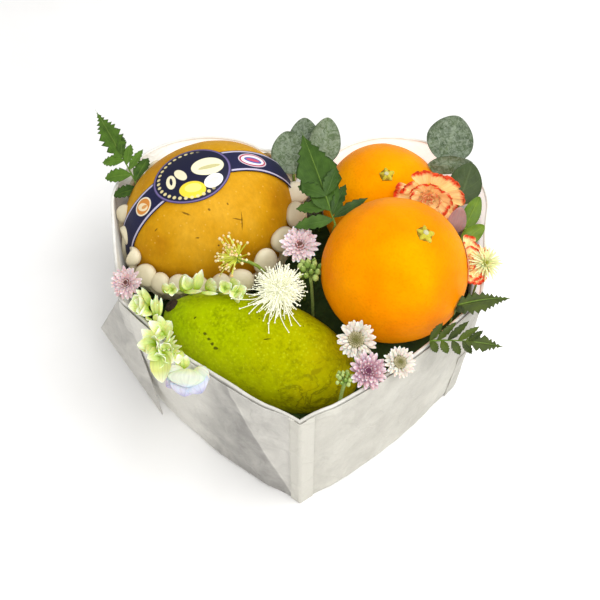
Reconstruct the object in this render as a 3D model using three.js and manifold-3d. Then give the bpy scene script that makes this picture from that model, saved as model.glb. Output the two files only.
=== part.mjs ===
// Fruit gift box: a heart-shaped tray wrapped in white paper, filled with a large brown pear in a
// foam cup with a printed band round it, two citrus fruits, a green fruit, cut flowers and foliage.
// Millimetres. +X right, +Y to the back, +Z up. The tray stands on Z = 0 and its tip points to -Y.
import * as THREE from 'three';
import Module from 'manifold-3d';

const wasm = await Module();
wasm.setup();

const GAP = 0.35;
const TURN = Math.PI * 2;

// Tray
const TRAY_H = 88;
const WALL = 2.2;
const FLOOR = 2.6;
const TIP_Y = -160;
const SHOULDER = { x: 89, y: -58, r: 24, flare: 9 };
const LOBE = { x: 63, y: 13, r: 60, flare: 5 };
const NOTCH_Y = 60;
const FRONT_BULGE = 6;
const SIDE_POINTS = 10;
const SHOULDER_POINTS = 4;
const LOBE_POINTS = 12;

// Paper on the tray's walls: sheets from one outline position to another, and a flap on the left
const PAPER = 0.5;
const PAPER_OFF = 0.35;
const STRIP_OFF = 1.25;
const SHEET_LOW = 0.004;
const SHEET_HIGH = 0.996;
const SHEET_STEPS = 12;
const STRIP_STEPS = 4;
const LEFT_SHEET = { from: -0.7, to: -10.3, slant: -1.3 };
const RIGHT_SHEET = { from: 0.7, to: 11.4, slant: 0.6 };
const TIP_STRIP = { from: -0.66, to: 0.42 };
const CORNER_FOLD = { from: 9.6, fromSlant: 0.5, to: 11.4, toSlant: 0.3, high: 0.45 };
const FLAP = [
  [-109.9, -68.4, 86.5],
  [-128, -55, 40],
  [-90, -95, 1],
  [-88.6, -96.4, 2.5],
  [-106.4, -73, 86.5],
];
const FLAP_T = 0.6;

// Crumpled paper bed that carries the fruit
const BED_H = 24;
const BED_BUMP = 1.6;
const BED_SHARES = [1, 0.8, 0.55, 0.3];
const MIDDLE_Y = -40;
const MOUND = { x: 60, y: -45, high: 34, wide: 42 };

// Fruit: centre, direction of the stalk axis (degrees), half sizes along it, across it and upright
const PEAR = { c: [-59.8, 14, 66], az: -62, el: 0, long: 48, side: 58, high: 52.5, dent: 0.08 };
const CITRUS_F = { c: [57.8, -52.9, 94], az: -23, el: 68, long: 44.2, side: 45, high: 45, dent: 0.02 };
const CITRUS_B = { c: [55.5, 28.6, 67], az: -90, el: 75, long: 39.6, side: 40.3, high: 40.3, dent: 0.02 };
const GREEN = { c: [-25.5, -81, 50], az: 158, el: 3, long: 65, side: 31, high: 38, dent: 0 };
const DENT_SPREAD = 0.32;
const GREEN_TAPER = 0.1;
const GREEN_ENDS = 0.06;
const GREEN_TURN_UP = 3.5;
const GREEN_DROP = 1;
const CALYX_F = 6.2;
const CALYX_B = 5.4;
const SCAR = { across: 3.4, deep: 2.6, fromEnd: 0.34, turn: 1.85 };
const FRUIT_ROWS = 15;
const FRUIT_COLUMNS = 26;
const SMALL_ROWS = 14;
const SMALL_COLUMNS = 24;

// Band round the pear, with a round label on top
const BAND_W = 17;
const BAND_T = 0.6;
const BAND_LIFT = 0.8;
const BAND_SHIFT = 2;
const LABEL_R = 24;
const LABEL_AT = -0.2;
const BAND_STATIONS = 36;
const BAND_LANES = 4;
const BAND_ROUND = 55;

// Foam cup round the pear
const FOAM_IN = 2.8;
const FOAM_T = 2;
const FOAM_PETALS = 14;
const FOAM_LEVELS = [-1.2, -0.9, -0.6, -0.3, 0.02];
const FOAM_OPEN_AZ = -38;
const FOAM_FLARE = 4.5;
const FOAM_NOTCH = -0.1;
const FOAM_PEAK = 0.05;
const FOAM_RISE = 0.12;

// Stems run down to this height in the bed
const BED_TOP = 20;
const STEM_R = 1.1;

// Daisy heads: centre, radius, facing (azimuth and elevation), petals, colour and foot of the stem
const DAISIES = [
  {
    name: 'mum_left', c: [-105.5, -62.8, 94], r: 9.4, face: [250, 60],
    petals: 11, colour: 0xd9a3c4, foot: [-98, -54],
  },
  {
    name: 'mum_front_white', c: [32.8, -106.3, 94], r: 12.2, face: [275, 62],
    petals: 12, colour: 0xf1e6e8, foot: [34, -98],
  },
  {
    name: 'mum_mauve', c: [39.1, -127.5, 92.5], r: 11.4, face: [290, 58],
    petals: 12, colour: 0xc9a2c6, foot: [36, -116],
  },
  {
    name: 'mum_small', c: [57.6, -121.7, 93], r: 10, face: [300, 60],
    petals: 10, colour: 0xf4f2ea, foot: [54, -106],
  },
  {
    name: 'mum_centre', c: [0, -35.5, 98], r: 11.5, face: [265, 65],
    petals: 12, colour: 0xe2c3cf, foot: [4, -30],
  },
  {
    name: 'mum_right', c: [113.5, -50.2, 98], r: 9.4, face: [300, 55],
    petals: 11, colour: 0xefe3b4, foot: [108, -44],
  },
];

// Frilled heads: n is the number of points round each ruffle
const FRILLS = [
  {
    name: 'carnation_top', c: [81.5, -4, 103], r: 22, high: 14, n: 24,
    face: [262, 68], foot: [98, 2],
  },
  {
    name: 'carnation_right', c: [103.5, -48, 98], r: 12.5, high: 9, n: 16,
    face: [290, 50], foot: [108, -26],
  },
];

// Burr-like heads
const FILAMENTS = { c: [-12, -66, 93], r: 19, face: [262, 68], foot: [-4, -38] };
const UMBEL = { c: [-45.3, -48, 101], r: 10.5, face: [250, 62], bend: [-28, -46, 84], foot: [-21, -42] };

// Floret clusters: x, y, z and radius of each floret
const CLUSTERS = [
  {
    name: 'florets_left', colour: 0xcfdca6, foot: [-84, -76],
    heads: [[-93, -75, 94, 8.5], [-88.5, -87, 91, 8.5], [-84, -99, 91, 8.5], [-79, -110, 91, 8.5]],
  },
  {
    name: 'florets_upper', colour: 0xd6e0b4, foot: [-64, -52],
    heads: [[-75.5, -66, 91, 8], [-62, -62, 91, 8], [-47, -64, 91, 7.5]],
  },
];
const BLUE_FLORET = { c: [-64.5, -132, 92.5], r: 12.5, face: [255, 58], foot: [-62, -104, 66] };

const BUDS = [
  { name: 'buds_centre', c: [6.5, -54, 95], foot: [8, -50], n: 3, size: 4.4 },
  { name: 'buds_front', c: [25.8, -131.5, 90], foot: [24, -126], n: 3, size: 3.8 },
];

// Fern blades: half is the half width and n the number of leaflets on a side
const FERNS = [
  {
    name: 'fern_left', base: [-104, 17, 92], tip: [-137, 80, 100], up: [0.2, -0.75, 0.6],
    half: 17, n: 9, foot: [-106, 38, 20], side: [],
  },
  {
    name: 'fern_centre', base: [21, -10, 113], tip: [0, 38, 127], up: [0.1, -0.72, 0.68],
    half: 20, n: 10, foot: [8, -12, 20], side: [[45, 2, 112], [-2, -25, 106]],
  },
  {
    name: 'fern_right_high', base: [92, -78, 93], tip: [124, -79, 100], up: [0, -0.55, 0.8],
    half: 9, n: 7, foot: [98, -60, 20], side: [],
  },
  {
    name: 'fern_right_low', base: [76, -106, 93], tip: [120, -113, 96], up: [0, -0.5, 0.85],
    half: 13, n: 9, foot: [76, -84, 20], side: [],
  },
];
const FERN_SAG = 2.5;
const SIDE_BLADE_HALF = 5.5;

// Broad leaves
const LEAVES = [
  { name: 'leaf_round_a', base: [-4, 34, 90], tip: [-9, 60, 104], up: [0.1, -0.75, 0.65], half: 13 },
  { name: 'leaf_round_b', base: [3, 46, 90], tip: [3, 71, 106], up: [-0.1, -0.8, 0.6], half: 11 },
  { name: 'leaf_round_c', base: [14, 42, 91], tip: [19, 69, 108], up: [0.2, -0.8, 0.6], half: 11 },
  { name: 'leaf_right_a', base: [94, 42, 94], tip: [105, 66, 112], up: [0, -0.8, 0.6], half: 16 },
  { name: 'leaf_right_b', base: [84, 38, 93], tip: [113, 34, 100], up: [0, -0.75, 0.66], half: 6 },
  { name: 'leaf_right_c', base: [102, 6, 91], tip: [112, 31, 103], up: [0, -0.75, 0.66], half: 11 },
  { name: 'leaf_small_a', base: [104, -19, 92], tip: [111, 4, 100], up: [0, -0.7, 0.7], half: 6 },
  { name: 'leaf_small_b', base: [100, -27, 93], tip: [114, -19, 98], up: [0, -0.7, 0.7], half: 6 },
];
const LEAF_CUP = 1.5;
const LEAF_T = 0.7;
const BLADE_T = 0.9;
const PETAL = { base: [96, -18, 92], tip: [100, -7, 104], up: [0.1, -0.8, 0.6], half: 6 };

// Small vector helpers
const V = (x, y, z) => new THREE.Vector3(x, y, z);
const rad = (d) => (d * Math.PI) / 180;
const wave = (x, y, seed) => Math.sin(x * 1.7 + seed) * Math.cos(y * 1.3 - seed * 0.7);

// A right-handed frame at a point, with its z axis along the given direction.
function frameAt(centre, direction, roll = 0) {
  const z = direction.clone().normalize();
  const side = Math.abs(z.z) > 0.95 ? V(1, 0, 0) : V(0, 0, 1).cross(z).normalize();
  const y = z.clone().cross(side).normalize();
  const x = y.clone().cross(z).normalize();
  const c = Math.cos(roll);
  const s = Math.sin(roll);
  const u = x.clone().multiplyScalar(c).addScaledVector(y, s);
  const v = y.clone().multiplyScalar(c).addScaledVector(x, -s);
  return (a, b, h) => centre.clone().addScaledVector(u, a).addScaledVector(v, b).addScaledVector(z, h);
}

// Direction from azimuth and elevation in degrees.
function heading(az, el) {
  return V(Math.cos(rad(el)) * Math.cos(rad(az)), Math.cos(rad(el)) * Math.sin(rad(az)), Math.sin(rad(el)));
}

// A shell is { points, faces }; outward() turns its faces so that its volume is positive.
function outward(shell) {
  let volume = 0;
  for (const [a, b, c] of shell.faces) {
    volume += shell.points[a].dot(shell.points[b].clone().cross(shell.points[c]));
  }
  if (volume < 0) {
    shell.faces = shell.faces.map(([a, b, c]) => [a, c, b]);
  }
  return shell;
}

// Rings of equal length joined into a skin, with a pole at each end.
function skin(first, rings, last) {
  const n = rings[0].length;
  const points = [first, ...rings.flat(), last];
  const faces = [];
  const end = points.length - 1;
  const start = end - n;
  for (let k = 0; k < n; k += 1) {
    const next = (k + 1) % n;
    faces.push([0, 1 + next, 1 + k]);
    faces.push([end, start + k, start + next]);
    for (let r = 0; r + 1 < rings.length; r += 1) {
      const a = 1 + r * n + k;
      const b = 1 + r * n + next;
      faces.push([a, b, b + n]);
      faces.push([a, b + n, a + n]);
    }
  }
  return outward({ points, faces });
}

// Rings of equal length joined into a closed loop, as a bracelet is.
function loop(rings) {
  const n = rings[0].length;
  const m = rings.length;
  const points = rings.flat();
  const faces = [];
  for (let r = 0; r < m; r += 1) {
    for (let k = 0; k < n; k += 1) {
      const a = r * n + k;
      const b = r * n + ((k + 1) % n);
      const c = ((r + 1) % m) * n + k;
      const d = ((r + 1) % m) * n + ((k + 1) % n);
      faces.push([a, b, d]);
      faces.push([a, d, c]);
    }
  }
  return outward({ points, faces });
}

function solid(shell) {
  const vertProperties = new Float32Array(shell.points.flatMap((p) => [p.x, p.y, p.z]));
  const triVerts = new Uint32Array(shell.faces.flat());
  return new wasm.Manifold(new wasm.Mesh({ numProp: 3, vertProperties, triVerts }));
}

function shellOf(manifold) {
  const mesh = manifold.getMesh();
  const points = [];
  for (let i = 0; i < mesh.vertProperties.length; i += mesh.numProp) {
    points.push(V(mesh.vertProperties[i], mesh.vertProperties[i + 1], mesh.vertProperties[i + 2]));
  }
  const faces = [];
  for (let i = 0; i < mesh.triVerts.length; i += 3) {
    faces.push([mesh.triVerts[i], mesh.triVerts[i + 1], mesh.triVerts[i + 2]]);
  }
  return { points, faces };
}

function fuse(shells) {
  return shells.map(solid).reduce((sum, next) => sum.add(next));
}

function cut(manifold, cutters) {
  return cutters.reduce((left, tool) => left.subtract(tool), manifold);
}

// The connected piece of a shell that holds the most volume.
function largestPiece(shell) {
  const owner = shell.points.map((_, i) => i);
  const find = (i) => {
    let k = i;
    while (owner[k] !== k) {
      owner[k] = owner[owner[k]];
      k = owner[k];
    }
    return k;
  };
  for (const [a, b, c] of shell.faces) {
    owner[find(a)] = find(b);
    owner[find(b)] = find(c);
  }
  const volumes = new Map();
  for (const [a, b, c] of shell.faces) {
    const part = shell.points[a].dot(shell.points[b].clone().cross(shell.points[c])) / 6;
    volumes.set(find(a), (volumes.get(find(a)) || 0) + part);
  }
  const [keep] = [...volumes].reduce((best, entry) => (entry[1] > best[1] ? entry : best));
  const faces = shell.faces.filter(([a]) => find(a) === keep);
  const used = [...new Set(faces.flat())];
  const renumber = new Map(used.map((old, i) => [old, i]));
  return { points: used.map((i) => shell.points[i]), faces: faces.map((f) => f.map((i) => renumber.get(i))) };
}

const group = new THREE.Group();
group.name = 'fruit_gift_box';

function addNode(name, shell, colour, roughness) {
  const geometry = new THREE.BufferGeometry();
  const flat = new Float32Array(shell.points.flatMap((p) => [p.x, p.y, p.z]));
  geometry.setAttribute('position', new THREE.BufferAttribute(flat, 3));
  geometry.setIndex(shell.faces.flat());
  geometry.computeVertexNormals();
  const material = new THREE.MeshStandardMaterial({ color: colour, roughness, metalness: 0 });
  const mesh = new THREE.Mesh(geometry, material);
  mesh.name = name;
  group.add(mesh);
}

// Outline of the tray at height share t (0 at the floor, 1 at the rim), anticlockwise from the tip.
// Each half is a bulged front side, a round shoulder, a straight side, a round lobe and the notch.
function heart(t) {
  const flare = 1 - t;
  const sx = SHOULDER.x - SHOULDER.flare * flare;
  const lx = LOBE.x - LOBE.flare * flare;
  const tip = new THREE.Vector2(0, TIP_Y);
  const half = [];
  const toShoulder = new THREE.Vector2(sx, SHOULDER.y).sub(tip);
  const reach = Math.sqrt(toShoulder.lengthSq() - SHOULDER.r ** 2);
  const lean = Math.atan2(toShoulder.y, toShoulder.x) - Math.atan2(SHOULDER.r, reach);
  const out = new THREE.Vector2(Math.sin(lean), -Math.cos(lean));
  for (let i = 0; i < SIDE_POINTS; i += 1) {
    const s = i / SIDE_POINTS;
    const bulge = FRONT_BULGE * 4 * s * (1 - s) * Math.min(1, 6 * s);
    const along = reach * s;
    half.push([
      tip.x + Math.cos(lean) * along + out.x * bulge,
      tip.y + Math.sin(lean) * along + out.y * bulge,
    ]);
  }
  const sideLean = Math.atan2(LOBE.y - SHOULDER.y, lx + LOBE.r - (sx + SHOULDER.r)) - Math.PI / 2;
  for (let i = 0; i <= SHOULDER_POINTS; i += 1) {
    const a = lean - Math.PI / 2 + ((sideLean - lean + Math.PI / 2) * i) / SHOULDER_POINTS;
    half.push([sx + SHOULDER.r * Math.cos(a), SHOULDER.y + SHOULDER.r * Math.sin(a)]);
  }
  const last = Math.PI - Math.asin((NOTCH_Y - LOBE.y) / LOBE.r);
  for (let i = 0; i <= LOBE_POINTS; i += 1) {
    const a = sideLean + ((last - sideLean) * i) / LOBE_POINTS;
    half.push([lx + LOBE.r * Math.cos(a), LOBE.y + LOBE.r * Math.sin(a)]);
  }
  const mirror = half.slice(1).reverse();
  return [...half, [0, NOTCH_Y - 2.5], ...mirror.map(([x, y]) => [-x, y])];
}

// A closed outline moved outwards by a distance along its corner bisectors.
function moved(outline, distance) {
  const n = outline.length;
  return outline.map(([x, y], i) => {
    const [px, py] = outline[(i + n - 1) % n];
    const [qx, qy] = outline[(i + 1) % n];
    const a = new THREE.Vector2(y - py, px - x).normalize();
    const b = new THREE.Vector2(qy - y, x - qx).normalize();
    const mid = a.clone().add(b).normalize();
    const stretch = distance / Math.max(0.45, mid.dot(a));
    return [x + mid.x * stretch, y + mid.y * stretch];
  });
}

function ringAt(t, z, off) {
  return moved(heart(t), off).map(([x, y]) => V(x, y, z));
}

// The tray as a skin from under the floor, up the outside, over the rim and down to the floor's top.
function trayShell(grow, outside = grow) {
  const floorShare = FLOOR / TRAY_H;
  const rings = [
    ringAt(0, -grow, outside),
    ringAt(1, TRAY_H + grow, outside),
    ringAt(1, TRAY_H + grow, -WALL - grow),
    ringAt(floorShare, FLOOR + grow, -WALL - grow),
  ];
  return skin(V(0, MIDDLE_Y, -grow), rings, V(0, MIDDLE_Y, FLOOR + grow));
}

// A sheet over the wall between two positions along the outline, given as outline indices that may
// change with height; off is the gap under it and high the height share of its upper edge.
function pointOnWall(index, t, off) {
  const line = moved(heart(t), off);
  const n = line.length;
  const i = Math.floor(index);
  const f = index - i;
  const [ax, ay] = line[((i % n) + n) % n];
  const [bx, by] = line[(((i + 1) % n) + n) % n];
  return V(ax + (bx - ax) * f, ay + (by - ay) * f, TRAY_H * t);
}

function wallSheet(from, to, off, steps = SHEET_STEPS, high = SHEET_HIGH) {
  const low = SHEET_LOW;
  const rings = [];
  for (let k = 0; k <= steps; k += 1) {
    const at = (t) => from(t) + ((to(t) - from(t)) * k) / steps;
    rings.push([
      pointOnWall(at(low), low, off),
      pointOnWall(at(low), low, off + PAPER),
      pointOnWall(at(high), high, off + PAPER),
      pointOnWall(at(high), high, off),
    ]);
  }
  const middle = (ring) => ring.reduce((sum, p) => sum.add(p), V(0, 0, 0)).multiplyScalar(0.25);
  return skin(middle(rings[0]), rings, middle(rings[rings.length - 1]));
}

// A thin flat plate over a quadrilateral of corners, thickened along its normal.
function plate(corners, thick) {
  const normal = corners[1].clone().sub(corners[0]).cross(corners[2].clone().sub(corners[0])).normalize();
  const top = corners.map((p) => p.clone().addScaledVector(normal, thick));
  const centre = corners.reduce((sum, p) => sum.add(p), V(0, 0, 0)).multiplyScalar(1 / corners.length);
  return skin(centre, [corners, top], centre.clone().addScaledVector(normal, thick));
}

// Point on a fruit: u runs from the stalk pole (0) to the far pole (pi), w around the axis.
function fruitFrame(fruit) {
  const axis = heading(fruit.az, fruit.el);
  const up = V(0, 0, 1).addScaledVector(axis, -axis.z).normalize();
  const side = up.clone().cross(axis).normalize();
  return { axis, up, side, centre: V(...fruit.c) };
}

function fruitPoint(fruit, u, w, grow) {
  const { axis, up, side, centre } = fruitFrame(fruit);
  const dent = 1 - fruit.dent * Math.exp(-((Math.min(u, Math.PI - u) / DENT_SPREAD) ** 2));
  const along = (fruit.long + grow) * Math.cos(u) * dent;
  const round = Math.sin(u);
  return centre.clone()
    .addScaledVector(axis, along)
    .addScaledVector(side, (fruit.side + grow) * round * Math.cos(w))
    .addScaledVector(up, (fruit.high + grow) * round * Math.sin(w));
}

function fruitShell(fruit, rows, columns, grow) {
  const rings = [];
  for (let r = 1; r < rows; r += 1) {
    const ring = [];
    for (let k = 0; k < columns; k += 1) {
      ring.push(fruitPoint(fruit, (Math.PI * r) / rows, (TURN * k) / columns, grow));
    }
    rings.push(ring);
  }
  return skin(fruitPoint(fruit, 0, 0, grow), rings, fruitPoint(fruit, Math.PI, 0, grow));
}

// The green fruit is fuller past its middle and its narrow stalk end turns up a little.
function greenPoint(u, w, grow) {
  const { axis, up, side, centre } = fruitFrame(GREEN);
  const c = Math.cos(u);
  const fat = 1 - GREEN_TAPER * c - GREEN_ENDS * c * c;
  const lift = GREEN_TURN_UP * Math.max(0, c) ** 2 - GREEN_DROP;
  return centre.clone()
    .addScaledVector(axis, (GREEN.long + grow) * c)
    .addScaledVector(side, (GREEN.side * fat + grow) * Math.sin(u) * Math.cos(w))
    .addScaledVector(up, (GREEN.high * fat + grow) * Math.sin(u) * Math.sin(w) + lift);
}

function greenShell(rows, columns, grow) {
  const rings = [];
  for (let r = 1; r < rows; r += 1) {
    const ring = [];
    for (let k = 0; k < columns; k += 1) {
      ring.push(greenPoint((Math.PI * r) / rows, (TURN * k) / columns, grow));
    }
    rings.push(ring);
  }
  return skin(greenPoint(0, 0, grow), rings, greenPoint(Math.PI, 0, grow));
}

// A five-pointed calyx with a round button, laid on a citrus fruit's stalk pole.
function calyxShells(fruit, size) {
  const { axis, centre } = fruitFrame(fruit);
  const at = frameAt(centre.addScaledVector(axis, fruit.long * (1 - fruit.dent) + GAP), axis, 0.4);
  const star = [];
  const under = [];
  for (let k = 0; k < 10; k += 1) {
    const r = k % 2 === 0 ? size : size * 0.5;
    const a = (TURN * k) / 10;
    const sink = -(r * r) / (2 * fruit.long) * 0.5;
    star.push(at(r * Math.cos(a), r * Math.sin(a), 1.2 + sink));
    under.push(at(r * Math.cos(a), r * Math.sin(a), 0.2));
  }
  const button = [];
  const neck = [];
  for (let k = 0; k < 8; k += 1) {
    const a = (TURN * k) / 8;
    neck.push(at(size * 0.3 * Math.cos(a), size * 0.3 * Math.sin(a), 0.6));
    button.push(at(size * 0.26 * Math.cos(a), size * 0.26 * Math.sin(a), 2.3));
  }
  return [
    skin(at(0, 0, 0.2), [under, star], at(0, 0, 1.3)),
    skin(at(0, 0, 0.6), [neck, button], at(0, 0, 2.5)),
  ];
}

// Point on the pear in the upright plane of its girth: w is the angle from the top, across the offset
// along the stalk axis, and lift the height over the skin.
function girthPoint(w, across, lift) {
  const { axis, up, side, centre } = fruitFrame(PEAR);
  const share = Math.min(0.98, Math.abs(across) / PEAR.long);
  const round = Math.sqrt(1 - share * share);
  const normal = axis.clone().multiplyScalar(across / PEAR.long ** 2)
    .addScaledVector(side, (Math.sin(w) * round) / PEAR.side)
    .addScaledVector(up, (Math.cos(w) * round) / PEAR.high)
    .normalize();
  return centre.clone()
    .addScaledVector(axis, across)
    .addScaledVector(side, PEAR.side * round * Math.sin(w))
    .addScaledVector(up, PEAR.high * round * Math.cos(w))
    .addScaledVector(normal, lift);
}

// A closed band whose half width swells to the round label near the top.
function bandShell(grow) {
  const rings = [];
  for (let k = 0; k < BAND_STATIONS; k += 1) {
    const even = k / BAND_STATIONS - 0.5;
    const w = TURN * (even * 0.55 + 1.8 * even ** 3) + LABEL_AT;
    const arc = (w - LABEL_AT) * BAND_ROUND;
    const label = Math.abs(arc) < LABEL_R ? Math.sqrt(LABEL_R ** 2 - arc ** 2) : 0;
    const half = Math.max(BAND_W / 2, label) + grow;
    const ring = [];
    for (let j = 0; j <= BAND_LANES; j += 1) {
      const across = BAND_SHIFT + half * ((2 * j) / BAND_LANES - 1);
      ring.push(girthPoint(w, across, BAND_LIFT + BAND_T + grow));
    }
    for (let j = BAND_LANES; j >= 0; j -= 1) {
      const across = BAND_SHIFT + half * ((2 * j) / BAND_LANES - 1);
      ring.push(girthPoint(w, across, BAND_LIFT - grow));
    }
    rings.push(ring);
  }
  return loop(rings);
}

// Foam cup: the pear's own shape moved outwards, from its underside up to a scalloped edge.
function foamPoint(az, el, lift) {
  const { axis, up, side, centre } = fruitFrame(PEAR);
  const d = V(Math.cos(az) * Math.cos(el), Math.sin(az) * Math.cos(el), Math.sin(el));
  const a = d.dot(axis) / PEAR.long;
  const b = d.dot(side) / PEAR.side;
  const c = d.dot(up) / PEAR.high;
  const reach = 1 / Math.hypot(a, b, c);
  const normal = axis.clone().multiplyScalar(a / PEAR.long)
    .addScaledVector(side, b / PEAR.side)
    .addScaledVector(up, c / PEAR.high)
    .normalize();
  return centre.clone().addScaledVector(d, reach).addScaledVector(normal, lift);
}

function foamShell(grow) {
  const columns = FOAM_PETALS * 3;
  const open = (az) => 0.5 + 0.5 * Math.cos(az - rad(FOAM_OPEN_AZ));
  const outer = [];
  const inner = [];
  for (const [level, el] of FOAM_LEVELS.entries()) {
    const edge = level === FOAM_LEVELS.length - 1;
    const out = [];
    const inn = [];
    for (let k = 0; k < columns; k += 1) {
      const az = (TURN * k) / columns;
      const scallop = k % 3 === 0 ? FOAM_NOTCH : FOAM_PEAK;
      const rise = edge ? scallop + FOAM_RISE * open(az) : 0;
      const flare = edge ? FOAM_FLARE * open(az) ** 2 : 0;
      out.push(foamPoint(az, el + rise, FOAM_IN + FOAM_T + flare + grow));
      inn.push(foamPoint(az, el + rise, FOAM_IN + flare - grow));
    }
    outer.push(out);
    inner.push(inn);
  }
  const bottom = -Math.PI / 2;
  return skin(
    foamPoint(0, bottom, FOAM_IN + FOAM_T + grow),
    [...outer, ...inner.reverse()],
    foamPoint(0, bottom, FOAM_IN - grow),
  );
}

function stemShell(from, to, thick) {
  const at = frameAt(from, to.clone().sub(from));
  const length = from.distanceTo(to);
  const ring = (h) => Array.from({ length: 5 }, (_, k) => {
    const a = (TURN * k) / 5;
    return at(thick * Math.cos(a), thick * Math.sin(a), h);
  });
  return skin(at(0, 0, 0), [ring(0), ring(length)], at(0, 0, length));
}

// A flower head of revolution with a scalloped edge: a domed middle, a ring of petals and a cone.
function daisyShell(at, radius, petals, cup) {
  const n = petals * 2;
  const ring = (r, h, depth) => Array.from({ length: n }, (_, k) => {
    const a = (TURN * k) / n;
    const reach = r * (k % 2 === 0 ? 1 : 1 - depth);
    return at(reach * Math.cos(a), reach * Math.sin(a), h);
  });
  const rings = [
    ring(radius * 0.42, radius * 0.12, 0),
    ring(radius, radius * cup, 0.16),
    ring(radius * 0.86, radius * (cup - 0.16), 0.1),
  ];
  return skin(at(0, 0, radius * 0.24), rings, at(0, 0, -radius * 0.5));
}

// A frilled head: layers of ruffles on a low dome, with a cone below.
function frillShell(at, radius, n, high) {
  const ring = (share, h, waves, depth, phase) => Array.from({ length: n }, (_, k) => {
    const a = (TURN * k) / n;
    const r = radius * share * (1 + depth * Math.sin(waves * a + phase));
    return at(r * Math.cos(a), r * Math.sin(a), high * (h + 0.16 * Math.sin(waves * a + phase * 2)));
  });
  const rings = [
    ring(0.25, 0.95, 5, 0.2, 0),
    ring(0.45, 0.6, 7, 0.15, 1),
    ring(0.6, 0.85, 8, 0.14, 2),
    ring(0.75, 0.3, 9, 0.1, 3),
    ring(1, 0.35, 9, 0.1, 0.5),
    ring(0.7, -0.15, 9, 0.05, 3),
  ];
  return skin(at(0, 0, high * 0.75), rings, at(0, 0, -high * 0.9));
}

// A ball of blunt spikes.
function burrShell(at, radius, rows, columns, spike, floor) {
  const rings = [];
  for (let r = 1; r < rows; r += 1) {
    const u = (Math.PI * r) / rows;
    rings.push(Array.from({ length: columns }, (_, k) => {
      const tall = (r + k) % 2 === 0 ? 1 : 1 - spike;
      const w = (TURN * k) / columns;
      const h = radius * tall * Math.cos(u);
      return at(radius * tall * Math.sin(u) * Math.cos(w), radius * tall * Math.sin(u) * Math.sin(w),
        Math.max(floor * radius, h));
    }));
  }
  return skin(at(0, 0, radius * (1 - spike)), rings, at(0, 0, floor * radius - 0.4));
}

// A plain low-sided ball or egg.
function eggShell(at, ra, rb, rc, rows = 5, columns = 8) {
  const rings = [];
  for (let r = 1; r < rows; r += 1) {
    const u = (Math.PI * r) / rows;
    rings.push(Array.from({ length: columns }, (_, k) => {
      const w = (TURN * k) / columns;
      return at(ra * Math.sin(u) * Math.cos(w), rb * Math.sin(u) * Math.sin(w), rc * Math.cos(u));
    }));
  }
  return skin(at(0, 0, rc), rings, at(0, 0, -rc));
}

// A floret of four rounded petals.
function floretShell(at, radius) {
  const n = 8;
  const ring = (share, h) => Array.from({ length: n }, (_, k) => {
    const a = (TURN * k) / n;
    const reach = radius * share * (k % 2 === 0 ? 0.68 : 1);
    return at(reach * Math.cos(a), reach * Math.sin(a), h * radius);
  });
  return skin(at(0, 0, radius * 0.12), [ring(1, 0.2), ring(0.8, -0.02)], at(0, 0, -radius * 0.3));
}

// A thin leaf over a centre line: points from base to tip, half width by share of the length, the
// cupping depth and the thickness. Both faces are split into triangles alike.
function leafShell(line, normal, halfWidth, cup, thick, grow = 0) {
  const up = normal.clone().normalize();
  const rings = [];
  const n = line.length;
  for (let i = 1; i < n - 1; i += 1) {
    const along = line[i + 1].clone().sub(line[i - 1]).normalize();
    const side = up.clone().cross(along).normalize();
    const over = along.clone().cross(side).normalize();
    const half = halfWidth(i / (n - 1), i) + grow;
    const p = (s, h) => line[i].clone()
      .addScaledVector(side, half * s)
      .addScaledVector(over, h - cup * s * s);
    const top = grow;
    const low = -thick - grow;
    rings.push([p(-1, top), p(0, top), p(1, top), p(1, low), p(0, low), p(-1, low)]);
  }
  return skin(line[0].clone(), rings, line[n - 1].clone());
}

// Points on a bent line from base to tip: it sags along the given direction by the given depth.
function bentLine(base, tip, sag, steps) {
  return Array.from({ length: steps + 1 }, (_, i) => {
    const s = i / steps;
    return base.clone().lerp(tip, s).addScaledVector(sag, 4 * s * (1 - s));
  });
}

function roundLeaf(base, tip, normal, half, cup, grow = 0) {
  const line = bentLine(base, tip, V(0, 0, 0), 7);
  return leafShell(line, normal, (s) => half * Math.sin(Math.PI * s ** 0.85) ** 0.62, cup, LEAF_T, grow);
}

// A fern blade: its half width steps in and out once for every leaflet.
function fernBlade(base, tip, normal, half, leaflets, sag) {
  const line = bentLine(base, tip, sag, leaflets * 2 + 1);
  const spread = (s) => Math.sin(Math.PI * Math.min(1, s * 0.9 + 0.12)) ** 0.8 * (1.15 - 0.55 * s);
  const width = (s, i) => half * spread(s) * (i % 2 === 0 ? 0.3 : 1);
  return leafShell(line, normal, width, half * 0.12, BLADE_T);
}

// Height of the crumpled bed's top over a place.
function bedHeight(x, y) {
  const far = Math.hypot(x - MOUND.x, y - MOUND.y) / MOUND.wide;
  const crumple = BED_BUMP * (wave(x / 9, y / 8, 1) + 0.6 * wave(x / 4, y / 5, 2.5));
  return BED_H + MOUND.high * Math.exp(-far * far / 2) + crumple;
}

function bedShell(grow) {
  const share = BED_H / TRAY_H;
  const low = ringAt(FLOOR / TRAY_H, FLOOR + GAP, -WALL - GAP - 0.2 + grow);
  const edge = ringAt(share, 0, -WALL - GAP - 0.6 + grow);
  const topRing = (s) => edge.map((p) => {
    const x = p.x * s;
    const y = MIDDLE_Y + (p.y - MIDDLE_Y) * s;
    return V(x, y, bedHeight(x, y) + grow - 3 * s ** 6);
  });
  return skin(
    V(0, MIDDLE_Y, FLOOR + GAP),
    [low, ...BED_SHARES.map(topRing)],
    V(0, MIDDLE_Y, bedHeight(0, MIDDLE_Y) + grow),
  );
}

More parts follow.
